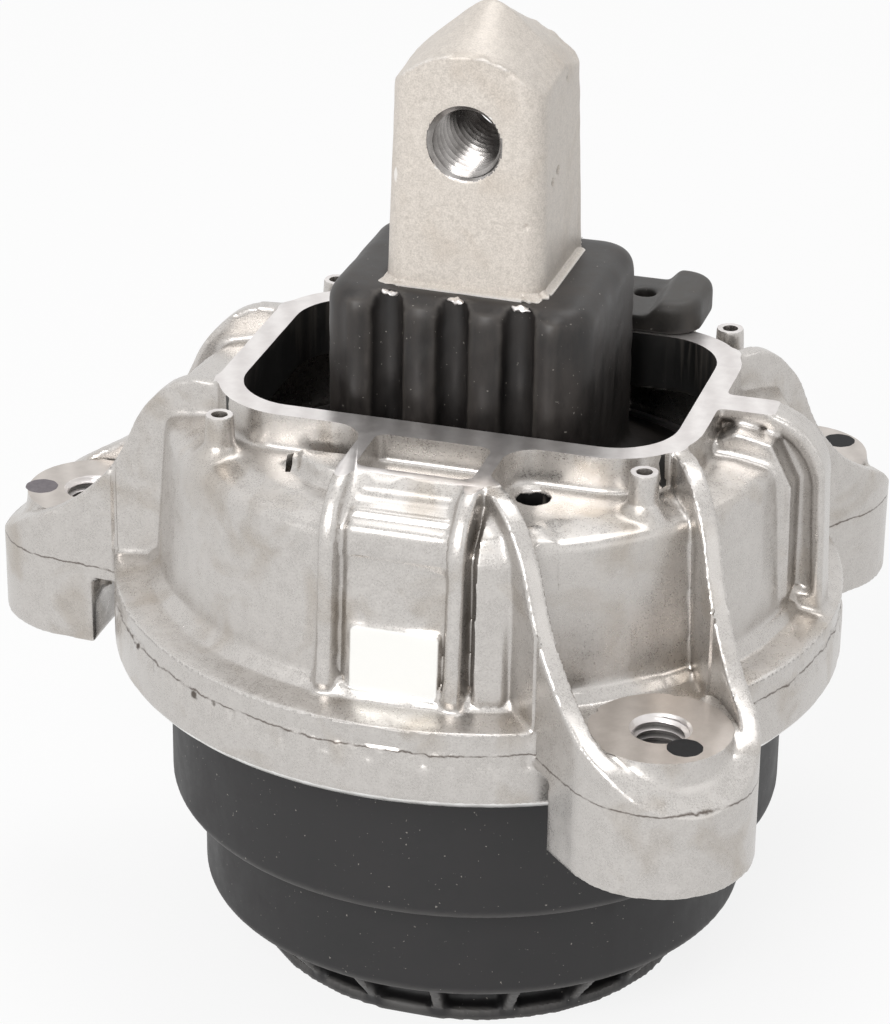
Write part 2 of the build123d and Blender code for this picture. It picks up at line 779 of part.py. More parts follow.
# Rubber-covered strip across the rear of the plate, thicker at both ends
with BuildPart() as stop_strip:
    stop_middle_y = (stop_rear_y + stop_front_y) / 2
    lobe_top_z = plate_z + stop_thickness + stop_lobe_height
    with BuildSketch(Plane.XY.offset(plate_z)):
        with Locations((0, stop_middle_y)):
            RectangleRounded(2 * stop_half_length, stop_rear_y - stop_front_y, stop_corner)
        with Locations((-stop_hole_x, stop_hole_y), (stop_hole_x, stop_hole_y)):
            Circle(stop_hole_radius, mode=Mode.SUBTRACT)
    extrude(amount=lobe_top_z - plate_z)
    with BuildSketch(Plane.XZ.offset(-stop_front_y + cut_margin)):
        face_of([
            (-stop_lobe_x, lobe_top_z),
            (stop_lobe_slope - stop_lobe_x, plate_z + stop_thickness),
            (stop_lobe_x - stop_lobe_slope, plate_z + stop_thickness),
            (stop_lobe_x, lobe_top_z),
        ])
    extrude(amount=stop_front_y - stop_rear_y - 2 * cut_margin, mode=Mode.SUBTRACT)
    top_edges = stop_strip.edges().group_by(Axis.Z)[-1]
    fillet(top_edges.filter_by(lambda e: abs(e.center().X) > stop_lobe_x + bond_gap), stop_lobe_round)

os.makedirs("parts", exist_ok=True)
for name, piece in (
    ("housing", housing),
    ("core_post", core_post),
    ("rubber_spring", rubber_spring),
    ("spring_outer_ring", spring_outer_ring),
    ("upper_channel_plate", upper_channel_plate),
    ("lower_channel_plate", lower_channel_plate),
    ("decoupler_membrane", decoupler_membrane),
    ("rolling_bellows", rolling_bellows),
    ("bellows_ring", bellows_ring),
    ("lower_cup", lower_cup),
    ("stop_strip", stop_strip),
):
    piece.part.label = name
    export_step(piece.part, f"parts/{name}.step")
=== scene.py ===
import math
import random

import bmesh
import bpy
import numpy as np
from mathutils import Matrix, Vector, noise


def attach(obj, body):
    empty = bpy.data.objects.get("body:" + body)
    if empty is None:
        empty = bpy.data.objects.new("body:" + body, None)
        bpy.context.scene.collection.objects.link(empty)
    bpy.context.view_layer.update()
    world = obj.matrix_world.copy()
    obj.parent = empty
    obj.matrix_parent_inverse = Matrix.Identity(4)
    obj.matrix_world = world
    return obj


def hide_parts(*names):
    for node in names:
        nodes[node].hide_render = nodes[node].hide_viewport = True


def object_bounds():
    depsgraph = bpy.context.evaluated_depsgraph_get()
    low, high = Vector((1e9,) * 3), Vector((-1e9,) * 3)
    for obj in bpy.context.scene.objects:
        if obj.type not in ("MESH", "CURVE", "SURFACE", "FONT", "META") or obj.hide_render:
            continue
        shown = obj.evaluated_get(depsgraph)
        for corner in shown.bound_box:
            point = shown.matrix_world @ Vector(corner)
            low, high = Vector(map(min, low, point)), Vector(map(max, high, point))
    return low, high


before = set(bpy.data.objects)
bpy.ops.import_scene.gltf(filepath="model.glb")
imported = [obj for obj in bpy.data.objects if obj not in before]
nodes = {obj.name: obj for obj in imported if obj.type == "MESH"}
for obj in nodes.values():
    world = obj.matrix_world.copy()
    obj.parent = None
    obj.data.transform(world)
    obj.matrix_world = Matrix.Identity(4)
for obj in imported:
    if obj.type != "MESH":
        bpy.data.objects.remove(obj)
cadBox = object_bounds()
mm = 0.001
dice = random.Random(11)
noise.seed_set(11)       # its vector noise would else be seeded by the clock

# Where the mount's main surfaces lie, in millimetres, as the solids have them
body = {
    "plateTop": 115.5, "shelfTop": 108.5, "padTop": 80.0, "earBase": 55.9,
    "earCircle": 78.3, "earAngles": (180.0, -50.3, 50.3), "earCore": 4.2,
    "earCrest": ((71.1, 89.4), (78.0, 83.6), (86.0, 79.2), (95.6, 71.5)),  # distance from the axis and height
    "rimRadius": 69.1, "rimTop": 76.4, "rimLow": 61.1,
    "windowLength": 82.0, "windowWidth": 52.5, "windowCorner": 12.0, "ceiling": 104.1,
    "postHole": 164.7, "postCore": 5.95, "postFace": 14.22,
    "blockHalfDepth": 20.5, "flutePitch": 12.2,
}


# Mesh tools

def linkObject(name, data):
    made = bpy.data.objects.new(name, data)
    bpy.context.scene.collection.objects.link(made)
    return made


def linkPiece(name, mesh, replaced=()):
    piece = linkObject(name, mesh)
    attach(piece, "root")
    if replaced:
        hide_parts(*replaced)


def applyModifiers(piece):
    made = bpy.data.meshes.new_from_object(piece.evaluated_get(bpy.context.evaluated_depsgraph_get()))
    piece.modifiers.clear()
    old = piece.data
    piece.data = made
    bpy.data.meshes.remove(old)


def modify(piece, kind, **settings):
    changer = piece.modifiers.new(kind, kind)
    for name, value in settings.items():
        setattr(changer, name, value)
    applyModifiers(piece)


def readField(items, field, width, kind=float):
    values = np.empty(len(items) * width, dtype=kind)
    items.foreach_get(field, values)
    return values.reshape(-1, width)


def readPoints(mesh):
    return readField(mesh.vertices, "co", 3) / mm


def readNormals(mesh):
    return readField(mesh.vertices, "normal", 3)


def readEdges(mesh):
    return readField(mesh.edges, "vertices", 2, np.int32)


def writePoints(mesh, points):
    mesh.vertices.foreach_set("co", (points * mm).ravel())
    mesh.update()


def writeShape(shaped, mesh):
    shaped.to_mesh(mesh)
    shaped.free()
    return mesh


def meanOfNeighbours(points, edges):
    count = np.bincount(edges.ravel(), minlength=len(points))
    total = np.zeros_like(points)
    for axis in range(3):
        total[:, axis] += np.bincount(edges[:, 0], points[edges[:, 1], axis], len(points))
        total[:, axis] += np.bincount(edges[:, 1], points[edges[:, 0], axis], len(points))
    return total / count[:, None]


softening = {"inward": 0.5, "outward": -0.53, "fill": 0.9, "stepsPerNormal": 8}


# Softens a fine mesh as casting or moulding does: first the steps that the remesh left, without
# shrinking, then all edges a little, and then only the inner corners
def relax(mesh, look, freedom=None):
    points = readPoints(mesh)
    edges = readEdges(mesh)
    for step in range(2 * look["cleanSteps"]):
        share = softening["outward" if step % 2 else "inward"]
        points += share * (meanOfNeighbours(points, edges) - points)
    free = np.ones(len(points)) if freedom is None else freedom(points)
    for step in range(look["edgeSteps"]):
        points += softening["inward"] * free[:, None] * (meanOfNeighbours(points, edges) - points)
    writePoints(mesh, points)
    fillValleys(mesh, look["valleySteps"], free)


def fillValleys(mesh, steps, free):
    points = readPoints(mesh)
    edges = readEdges(mesh)
    for step in range(steps):
        if step % softening["stepsPerNormal"] == 0:
            writePoints(mesh, points)
            normals = readNormals(mesh)
        lift = np.einsum("ij,ij->i", meanOfNeighbours(points, edges) - points, normals)
        points += (softening["fill"] * free * np.clip(lift, 0, None))[:, None] * normals
    writePoints(mesh, points)


# Soft waves of mixed directions and lengths over points in millimetres
def waves(points, size, seed):
    picker = np.random.default_rng(seed)
    total = np.zeros(len(points))
    for wave in range(9):
        direction = picker.normal(size=3)
        direction /= np.linalg.norm(direction)
        length = size * picker.uniform(0.7, 1.6)
        total += np.sin(points @ direction * 2 * math.pi / length + picker.uniform(0, 2 * math.pi))
    return total / 3.0


# Rises evenly from 0 at nought to 1 at the given width
def ramp(values, width):
    return np.clip(values / width, 0, 1)


# A round hump, 1 in its middle and 0 from the half width on
def hump(values, half):
    return np.clip(1 - (values / half) ** 2, 0, 1)


# Small hollows, each with its place, radius and depth
def dent(points, normals, marks):
    for place, radius, depth in marks:
        away = np.linalg.norm(points - np.array(place), axis=1)
        points -= (depth * hump(away, radius))[:, None] * normals
    return points


def shadeSmooth(mesh, angle):
    mesh.shade_smooth()
    mesh.set_sharp_from_angle(angle=math.radians(angle))


def keepTriangles(piece, wanted):
    triangles = sum(len(polygon.vertices) - 2 for polygon in piece.data.polygons)
    if triangles > wanted:
        modify(piece, "DECIMATE", ratio=wanted / triangles)


# A fine copy of a solid, to be softened and finished; its points may be moved before the remesh
def fineCopy(nodeName, voxel, prepare=None):
    work = linkObject(nodeName + "Work", nodes[nodeName].data.copy())
    work.data.materials.clear()
    if prepare:
        writePoints(work.data, prepare(readPoints(work.data)))
    modify(work, "REMESH", mode="VOXEL", voxel_size=voxel * mm, adaptivity=0.0)
    return work


def cutWith(piece, cutter):
    modify(piece, "BOOLEAN", operation="DIFFERENCE", solver="MANIFOLD", object=cutter)
    old = cutter.data
    bpy.data.objects.remove(cutter)
    bpy.data.meshes.remove(old)


def meshFrom(name, points, faces):
    mesh = bpy.data.meshes.new(name)
    mesh.from_pydata([tuple(value * mm for value in point) for point in points], [], faces)
    return mesh


def cutterFrom(points, faces):
    return linkObject("cutter", meshFrom("cutter", points, faces))


# Ends and sides of a closed body whose points lie in rings, one ring after another
def ringFaces(count, rings):
    last = (rings - 1) * count
    faces = [tuple(range(count))[::-1], tuple(range(last, last + count))]
    for low in range(0, last, count):
        for index in range(count):
            after = (index + 1) % count
            faces.append((low + index, low + after, low + count + after, low + count + index))
    return faces


# A closed body turned round an upright axis from (radius, height) steps
def turnedBody(steps, centre, segments=64):
    points = []
    for radius, height in steps:
        for index in range(segments):
            turn = 2 * math.pi * index / segments
            points.append((centre[0] + radius * math.cos(turn), centre[1] + radius * math.sin(turn), height))
    return cutterFrom(points, ringFaces(segments, len(steps)))


# A closed upright body over an outline, between two heights
def uprightBody(outline, low, high):
    points = [(x, y, height) for height in (low, high) for x, y in outline]
    return cutterFrom(points, ringFaces(len(outline), 2))


# A closed screw whose rows follow the helix, with a cone at each mouth that has a chamfer
def screwBody(core, depth, pitch, low, high, chamfers, place, segments=48, rows=6):
    over = 0.6  # how far its ends stand out of the metal
    profile = [depth * min(1.0, 1.6 - abs(3.2 * row / rows - 1.6)) for row in range(rows)]
    rowCount = (int((high - low) / pitch) + 4) * rows
    points = []
    for row in range(rowCount):
        for index in range(segments):
            height = low - 2 * pitch + pitch * (row / rows + index / segments)
            radius = core + profile[row % rows]
            if height < low - over or height > high + over:
                radius = core + depth
            height = min(max(height, low - over), high + over)
            for inside, chamfer in ((height - low, chamfers[0]), (high - height, chamfers[1])):
                if chamfer:
                    radius = max(radius, core + chamfer - inside)
            turn = 2 * math.pi * index / segments
            points.append(place(radius * math.cos(turn), radius * math.sin(turn), height))

    def corner(row, index):
        return (row + rows) * segments if index == segments else row * segments + index

    last = rowCount - rows - 1
    faces = []
    for row in range(last):
        for index in range(segments):
            up, after = row + 1, index + 1
            faces.append((corner(row, index), corner(row, after), corner(up, after), corner(up, index)))
    ends = [
        [corner(start, index) for index in range(segments + 1)]
        + [corner(row, 0) for row in range(start + rows - 1, start, -1)]
        for start in (0, last)
    ]
    faces += [tuple(reversed(ends[0])), tuple(ends[1])]
    cutter = cutterFrom(points, faces)
    shaped = bmesh.new()
    shaped.from_mesh(cutter.data)
    bmesh.ops.remove_doubles(shaped, verts=shaped.verts, dist=0.0005 * mm)
    bmesh.ops.delete(shaped, geom=[vert for vert in shaped.verts if not vert.link_faces], context="VERTS")
    bmesh.ops.recalc_face_normals(shaped, faces=shaped.faces)
    writeShape(shaped, cutter.data)
    return cutter


# Housing: a casting softened all over, then machined flat, drilled and tapped

housingLook = {
    "voxel": 0.5, "cleanSteps": 8, "edgeSteps": 2, "valleySteps": 5, "machiningAllowance": 0.9,
    "triangles": 164000, "skinDepth": 0.025, "skinSize": 7.0, "padCut": (13.0, 13.4),
    "threadDepth": 0.85, "threadPitch": 1.5, "mouthChamfer": 1.3,
}
seam = {
    "height": 72.2, "half": 0.7, "depth": 0.45, "step": 0.4, "wander": 0.3, "wanderSize": 30.0,
    "rimBand": 0.6, "dragBand": 2.8, "dragDepth": 0.2, "dragSize": 2.2,
    "pits": 60, "pitOffset": (1.2, 1.3), "pitRadius": (0.6, 1.2), "pitDepth": (0.15, 0.45),
    "lineInset": 0.9, "lineHalf": (0.03, 0.26), "lineBreaks": 4.0,
    "lineSwings": ((11.0, 1.5), (1.6, 0.9)),  # size of the noise and how far it moves the line
}
ridge = {"radius": 60.6, "half": 1.9, "rise": 0.8}
nub = {
    "outline": ((-23.8, -35.0), (-22.6, -39.5), (-13.8, -44.6), (-10.0, -44.0), (-10.0, -34.5)), "rise": 1.2,
    "slot": ((-26.0, -36.2), (-25.1, -39.4), (-24.2, -39.2), (-24.7, -35.4)), "slotDepth": 1.2,
}
bridge = {
    "ribs": (-10.85, 12.65), "ribHalf": 1.7, "beadRise": 0.8, "flareTop": 83.0, "flareBy": 0.8,
    "grooveOffset": 2.4, "grooveHalf": 1.05, "grooveDepth": 0.7, "grooveTop": 113.0,
    "inner": 47.5, "outer": 62.6, "foot": 77.5, "brow": 103.0, "browTilt": 60,
    "bands": ((52.6, 1.3, -0.35), (55.6, 0.8, 0.45), (58.4, 1.7, 0.4)),  # place, half width and rise
    "bandInset": (3.2, 1.9), "bandFoot": 104,
    "facet": {
        "x": 1.8, "half": 8.1, "low": 78.4, "high": 91.0, "corner": 1.3, "softness": 0.25, "outer": 58.5,
    },
}
pins = {
    "x": 39.4, "y": 34.0, "hole": 1.45, "top": 115.9, "depth": 6.0,
    "reach": 3.6, "foot": 0.8, "freedom": 0.25,
}
shelfHole = {"place": (19.9, -35.7), "radius": 3.1}
pocket = {
    "rib": 12.3, "half": 2.2, "span": (79.5, 108.0), "inner": 45, "outer": 64.5,
    "beside": 8.8, "besideHalf": 0.8, "facing": 0.3, "sliceHalf": 0.7,
}
earValley = {"inner": 11.8, "outer": 20.0, "overPad": 1.5, "steps": 40}
crestEnd = {
    "inner": 12.2, "outer": 15.6, "facing": (-0.55, 0.8), "foot": 67, "fromAxis": 66,
    "underPad": 0.2, "underCrest": 0.4,
}


def polar(radius, degrees):
    turn = math.radians(degrees)
    return radius * math.cos(turn), radius * math.sin(turn)


def roundedRectangle(length, width, corner, steps=12):
    outline = []
    for quarter, (sideX, sideY) in enumerate(((1, 1), (-1, 1), (-1, -1), (1, -1))):
        for step in range(steps + 1):
            turn = math.radians(90 * (quarter + step / steps))
            outline.append((
                sideX * (length / 2 - corner) + corner * math.cos(turn),
                sideY * (width / 2 - corner) + corner * math.sin(turn),
            ))
    return outline


# Metal left on the plate and on the pads, which the milling takes off again
def addStock(points):
    onPlate = np.abs(points[:, 2] - body["plateTop"]) < 0.05
    onPad = np.abs(points[:, 2] - body["padTop"]) < 0.05
    points[onPlate | onPad, 2] += housingLook["machiningAllowance"]
    return points


# The pins keep more of their shape when the casting is softened
def housingFreedom(points):
    fromPin = np.hypot(np.abs(points[:, 0]) - pins["x"], np.abs(points[:, 1]) - pins["y"])
    onPin = (fromPin < pins["reach"]) & (points[:, 2] > body["shelfTop"] + pins["foot"])
    return np.where(onPin, pins["freedom"], 1.0)


# The gaps between each ear's pad and its crest, which the casting fills
def earValleys(place, points):
    near = np.zeros(len(points))
    for angle in body["earAngles"]:
        x, y = polar(body["earCircle"], angle)
        away = np.hypot(points[:, 0] - x, points[:, 1] - y)
        near = np.maximum(near, ramp(away - place["inner"], 0.6) * ramp(place["outer"] - away, 2))
    return near * (points[:, 2] < body["padTop"] + place["overPad"]) * (points[:, 2] > body["rimLow"])


# At both ends of each crest the metal stands as high as the edge of the pad
def fillCrestEnds(place, points):
    for angle in body["earAngles"]:
        x, y = polar(body["earCircle"], angle)
        outX, outY = polar(1.0, angle)
        away = np.hypot(points[:, 0] - x, points[:, 1] - y)
        facing = ((points[:, 0] - x) * outX + (points[:, 1] - y) * outY) / np.maximum(away, 0.1)
        crest = np.interp(points[:, 0] * outX + points[:, 1] * outY, *zip(*body["earCrest"]))
        level = np.minimum(body["padTop"] - place["underPad"], crest - place["underCrest"])
        beside = (away > place["inner"]) & (away < place["outer"])
        beside &= (facing > place["facing"][0]) & (facing < place["facing"][1])
        beside &= (points[:, 2] > place["foot"]) & (np.hypot(points[:, 0], points[:, 1]) > place["fromAxis"])
        points[:, 2] = np.where(beside, np.maximum(points[:, 2], level), points[:, 2])
    return points


# The pockets beside the bridges are smooth: their thin ribs sink into the face of the dome
def smoothPockets(place, points, normals):
    radius = np.hypot(points[:, 0], points[:, 1])
    outward = (points[:, 0] * normals[:, 0] + points[:, 1] * normals[:, 1]) / radius
    low, high = place["span"]
    levels = np.arange(low, high, 1.0)
    for angle in body["earAngles"][1:]:
        outX, outY = polar(1.0, angle)
        along = points[:, 0] * outX + points[:, 1] * outY
        across = (points[:, 1] * outX - points[:, 0] * outY) * math.copysign(1, angle)
        inPocket = (along > place["inner"]) & (radius < place["outer"])
        inPocket &= (points[:, 2] > low) & (points[:, 2] < high)
        face = inPocket & (np.abs(across - place["beside"]) < place["besideHalf"])
        face &= outward > place["facing"]
        domeRadius = [
            np.median(radius[face & (np.abs(points[:, 2] - level) < place["sliceHalf"])]) for level in levels
        ]
        target = np.interp(points[:, 2], levels, domeRadius)
        onRib = inPocket & (np.abs(across - place["rib"]) < place["half"]) & (radius > target)
        points[onRib, :2] *= (target / radius)[onRib, None]
    return points


# The ribs at both sides of a bridge stand out as round beads, with a groove along each, and low
# bands cross the recess between them
def shapeBridges(place, points):
    x, y, z = points.T
    onFace = ramp(np.abs(y) - place["inner"], 1) * (np.abs(y) < place["outer"])
    onFace *= ramp(z - place["foot"], 2)
    out = np.zeros(len(points))
    for rib in place["ribs"]:
        away = x - rib
        flare = 1 + place["flareBy"] * ramp(place["flareTop"] - z, 4)
        out += place["beadRise"] * flare * np.sqrt(hump(away / place["ribHalf"], flare))
        groove = hump(away - place["grooveOffset"], place["grooveHalf"])
        out -= place["grooveDepth"] * groove * ramp(place["grooveTop"] - z, 4)
    between = ramp(x - place["ribs"][0] - place["bandInset"][0], 1)
    between *= ramp(place["ribs"][1] - place["bandInset"][1] - x, 1)
    between *= z > place["bandFoot"]
    for reach, half, rise in place["bands"]:
        out += rise * between * hump(np.abs(y) - reach, half)
    tilt = np.radians(place["browTilt"]) * ramp(z - place["brow"], 10)
    points[:, 1] += np.sign(y) * np.cos(tilt) * out * onFace
    points[:, 2] += np.sin(tilt) * out * onFace
    return points


# Low block on the shelf beside the front bridge
def raiseNub(place, points):
    inside = np.full(len(points), 100.0)
    outline = place["outline"]
    for (startX, startY), (endX, endY) in zip(outline, outline[1:] + outline[:1]):
        length = math.hypot(endX - startX, endY - startY)
        across = (endX - startX) * (points[:, 1] - startY) - (endY - startY) * (points[:, 0] - startX)
        inside = np.minimum(inside, across / length)
    onShelf = (points[:, 2] > body["shelfTop"] - 2.5) & (points[:, 2] < body["plateTop"] - 1.5)
    points[:, 2] += place["rise"] * ramp(inside + 0.2, 0.8) * onShelf
    return points


# Low round ridge on the flange, about the foot of the dome
def raiseRidge(place, points, normals):
    fromAxis = np.hypot(points[:, 0], points[:, 1])
    raised = hump(fromAxis - place["radius"], place["half"])
    raised *= ramp(normals[:, 2] - 0.3, 0.4) * (points[:, 2] < body["padTop"] + 3)
    raised *= points[:, 2] > body["rimTop"] - 1
    points[:, 2] += place["rise"] * raised
    return points


# The seam where the die halves met: a ragged groove with a step over it and drag marks under it
def cutSeam(place, points, normals):
    fromAxis = np.hypot(points[:, 0], points[:, 1])
    onRim = (np.abs(fromAxis - body["rimRadius"]) < place["rimBand"]) * (np.abs(normals[:, 2]) < 0.5)
    height = place["height"] + place["wander"] * waves(points * (1, 1, 0), place["wanderSize"], 5) / 2
    above = points[:, 2] - height
    nearSeam = np.clip(1 - np.abs(above) / place["half"], 0, 1)
    ragged = np.clip(0.6 + 0.5 * waves(points, 4.0, 6), 0.1, 1)
    dragged = ramp(above + place["dragBand"], 0.5) * ramp(-above, 0.3)
    drag = place["dragDepth"] + place["dragDepth"] * waves(points * (1, 1, 0.25), place["dragSize"], 12)
    inward = place["depth"] * ragged * nearSeam + place["step"] * ramp(above, 0.4)
    inward += dragged * drag
    points -= (np.clip(inward, 0, None) * onRim)[:, None] * normals
    return points


def drawPits(place):
    pits = []
    for pit in range(place["pits"]):
        x, y = polar(body["rimRadius"], dice.uniform(0, 360))
        spot = (x, y, place["height"] + dice.gauss(*place["pitOffset"]))
        pits.append((spot, dice.uniform(*place["pitRadius"]), dice.uniform(*place["pitDepth"])))
    return pits


def machineHousing(look, work):
    far, top = 120, 130  # a square and a height that reach past the whole casting
    square = [(-far, -far), (far, -far), (far, far), (-far, far)]
    window = roundedRectangle(body["windowLength"], body["windowWidth"], body["windowCorner"])
    cutWith(work, uprightBody(square, body["plateTop"], top))
    cutWith(work, uprightBody(window, body["ceiling"] - 3, top))
    for angle in body["earAngles"]:
        centre = polar(body["earCircle"], angle)
        low, high = look["padCut"]
        cutWith(work, turnedBody([(low, body["padTop"]), (high, body["padTop"] + 4)], centre))
        cutWith(work, screwBody(
            body["earCore"], look["threadDepth"], look["threadPitch"], body["earBase"], body["padTop"],
            (0, look["mouthChamfer"]), lambda x, y, z: (centre[0] + x, centre[1] + y, z),
        ))
    for x, y in ((-1, -1), (1, -1), (-1, 1), (1, 1)):
        bore = [(pins["hole"], pins["top"] - pins["depth"]), (pins["hole"], pins["top"] + 2)]
        cutWith(work, turnedBody(bore, (x * pins["x"], y * pins["y"]), 24))
    bore = [(shelfHole["radius"], body["ceiling"] - 2), (shelfHole["radius"], body["shelfTop"] + 1)]
    cutWith(work, turnedBody(bore, shelfHole["place"], 40))
    cutWith(work, uprightBody(nub["slot"], body["shelfTop"] - nub["slotDepth"], body["plateTop"]))


def makeHousing(look):
    work = fineCopy("housing", look["voxel"], addStock)
    writePoints(work.data, smoothPockets(pocket, readPoints(work.data), readNormals(work.data)))
    relax(work.data, look, housingFreedom)
    writePoints(work.data, fillCrestEnds(crestEnd, readPoints(work.data)))
    fillValleys(work.data, earValley["steps"], earValleys(earValley, readPoints(work.data)))
    writePoints(work.data, raiseNub(nub, shapeBridges(bridge, readPoints(work.data))))
    points = readPoints(work.data)
    normals = readNormals(work.data)
    points += look["skinDepth"] * waves(points, look["skinSize"], 3)[:, None] * normals
    points = cutSeam(seam, raiseRidge(ridge, points, normals), normals)
    writePoints(work.data, dent(points, normals, drawPits(seam)))
    keepTriangles(work, look["triangles"])
    machineHousing(look, work)
    return work


housingWork = makeHousing(housingLook)
print("housing cast and machined", len(housingWork.data.polygons))


# Core post: a blasted casting with a tapped cross hole, nicked along its edges

postLook = {
    "voxel": 0.42, "cleanSteps": 6, "edgeSteps": 2, "valleySteps": 4, "triangles": 80000,
    "corner": 10.5, "cornerFoot": 104, "cornerPull": 0.75, "skinDepth": 0.03, "skinSize": 5.0,
    "lip": 12.6, "lipRise": 0.35, "threadDepth": 1.05, "threadPitch": 2.0, "mouthChamfer": 1.0,
    "nicks": (  # place, radius and depth in millimetres
        ((13.2, -14.4, 175.2), 1.6, 0.9), ((14.0, -14.3, 176.0), 1.0, 0.7), ((12.0, -15.0, 150.5), 1.0, 1.0),
        ((11.3, -15.0, 150.4), 0.7, 0.8), ((14.4, -3.3, 157.7), 0.9, 0.9), ((14.4, -6.7, 156.6), 0.8, 0.8),
        ((-10.8, -14.4, 176.6), 0.8, 0.3), ((14.4, 3.0, 172.8), 0.9, 0.3),
    ),
}


def makePost(look):
    work = fineCopy("core_post", look["voxel"])
    relax(work.data, look)
    points = readPoints(work.data)
    rearCorner = ramp(np.abs(points[:, 0]) - look["corner"], 3) * ramp(points[:, 1] - look["corner"], 3)
    rearCorner *= ramp(points[:, 2] - look["cornerFoot"], 4)
    points[:, 0] += look["cornerPull"] * rearCorner * np.sign(points[:, 0])
    points[:, 1] += look["cornerPull"] * rearCorner
    writePoints(work.data, points)
    normals = readNormals(work.data)
    points += look["skinDepth"] * waves(points, look["skinSize"], 8)[:, None] * normals
    onLip = ramp(np.abs(points[:, 1]) - look["lip"], 1.2) * ramp(normals[:, 2] - 0.2, 0.3)
    onLip *= (points[:, 2] > body["postHole"]) * np.clip(0.5 + waves(points, 3.0, 17), 0, 1)
    points += (look["lipRise"] * onLip)[:, None] * normals
    writePoints(work.data, dent(points, normals, look["nicks"]))
    keepTriangles(work, look["triangles"])
    cutWith(work, screwBody(
        body["postCore"], look["threadDepth"], look["threadPitch"], -body["postFace"], body["postFace"],
        (look["mouthChamfer"], look["mouthChamfer"]), lambda x, y, z: (x, z, body["postHole"] - y),
    ))
    return work


postWork = makePost(postLook)
print("post cast and tapped")


# Rubber spring: a fluted block whose lobes stand out roundly, on the cone below it

springLook = {
    "voxel": 0.6, "cleanSteps": 6, "edgeSteps": 4, "valleySteps": 4, "triangles": 110000,
    "lobeRise": 1.0, "lobeDepth": 1.6, "lobeSpan": (96, 137.4), "lobeEnd": 21.5, "skinDepth": 0.05,
    "skinSize": 6.0, "fluteHalf": 3.0, "fluteDepth": 3.1, "fluteFoot": 97, "fluteInner": 12,
}


def makeSpring(look):
    work = fineCopy("rubber_spring", look["voxel"])
    relax(work.data, look)
    points = readPoints(work.data)
    normals = readNormals(work.data)
    x, y, z = points.T
    low, high = look["lobeSpan"]
    onFace = ramp(np.abs(y) - body["blockHalfDepth"] + look["lobeDepth"], 0.8) * ramp(z - low, 4)
    onFace *= ramp(high - z, 2) * ramp(look["lobeEnd"] - np.abs(x), 2)
    lobes = -np.cos(2 * math.pi * x / body["flutePitch"])
    points[:, 1] += np.sign(y) * look["lobeRise"] * lobes * onFace
    for column in (-1, 0, 1):
        away = (x - column * body["flutePitch"]) / look["fluteHalf"]
        inFlute = (np.abs(away) < 1) & (z > look["fluteFoot"]) & (np.abs(y) > look["fluteInner"])
        floor = body["blockHalfDepth"] - look["fluteDepth"] * np.sqrt(np.clip(1 - away ** 2, 0, 1))
        points[inFlute, 1] = (np.sign(y) * np.minimum(np.abs(y), floor))[inFlute]
    points += look["skinDepth"] * waves(points, look["skinSize"], 21)[:, None] * normals
    writePoints(work.data, points)
    keepTriangles(work, look["triangles"])
    return work


springWork = makeSpring(springLook)
print("rubber spring moulded")


# Lower cup and stop strip

cupLook = {"voxel": 0.7, "cleanSteps": 6, "edgeSteps": 1, "valleySteps": 4, "triangles": 130000}
stripLook = {"voxel": 0.4, "cleanSteps": 6, "edgeSteps": 8, "valleySteps": 6, "triangles": 30000}


def makeSoftened(nodeName, look):
    work = fineCopy(nodeName, look["voxel"])
    relax(work.data, look)
    keepTriangles(work, look["triangles"])
    return work


cupWork = makeSoftened("lower_cup", cupLook)
stripWork = makeSoftened("stop_strip", stripLook)
print("cup and strip moulded")


# Thin sheet of cast metal that ran out over the rubber round the foot of the post

flashLook = {
    "height": 137.35, "rise": 1.3, "inner": 14.3, "corner": 4.2, "raggedness": 1.1, "droop": 0.12,
    "least": 0.5, "reach": {"front": 4.0, "right": 2.6, "left": 1.0, "rear": 1.2},
}


def makeFlash(look):
    shape = roundedRectangle(2 * look["inner"], 2 * look["inner"], look["corner"], 64)
    reaches = look["reach"]
    points = []
    for x, y in shape:
        out = Vector((x, y)).normalized()
        spot = Vector((x, y, 0)) * 0.35
        sideways = reaches["right"] if out.x > 0 else reaches["left"]
        endways = reaches["front"] if out.y < 0 else reaches["rear"]
        reach = abs(out.x) ** 3 * sideways + abs(out.y) ** 3 * endways
        reach += look["raggedness"] * (1.4 * noise.noise(spot) + 0.6 * noise.noise(spot * 3.5))
        reach = max(look["least"], reach)
        low = look["height"] + 0.25 * noise.noise(spot * 1.7) - look["droop"] * reach
        section = (  # how far out and how high, from the underside round to the post
            (-1.2, low - 0.4), (reach, low - 0.25), (reach, low + 0.08), (reach * 0.45, low + 0.35),
            (0.1, look["height"] + look["rise"]), (-1.2, low + 2.2),
        )
        points += [(x + out.x * far, y + out.y * far, height) for far, height in section]
    sides = len(section)
    faces = []
    for index in range(len(shape)):
        here, after = sides * index, sides * ((index + 1) % len(shape))
        for side in range(sides):
            up = (side + 1) % sides
            faces.append((here + side, after + side, after + up, here + up))
    return meshFrom("postFlash", points, faces)


flashMesh = makeFlash(flashLook)


# Bright metal that shows at the top of each groove in the rubber

groovePlace = {"height": 136.5, "depth": 18.2, "size": (1.6, 0.9, 0.4)}


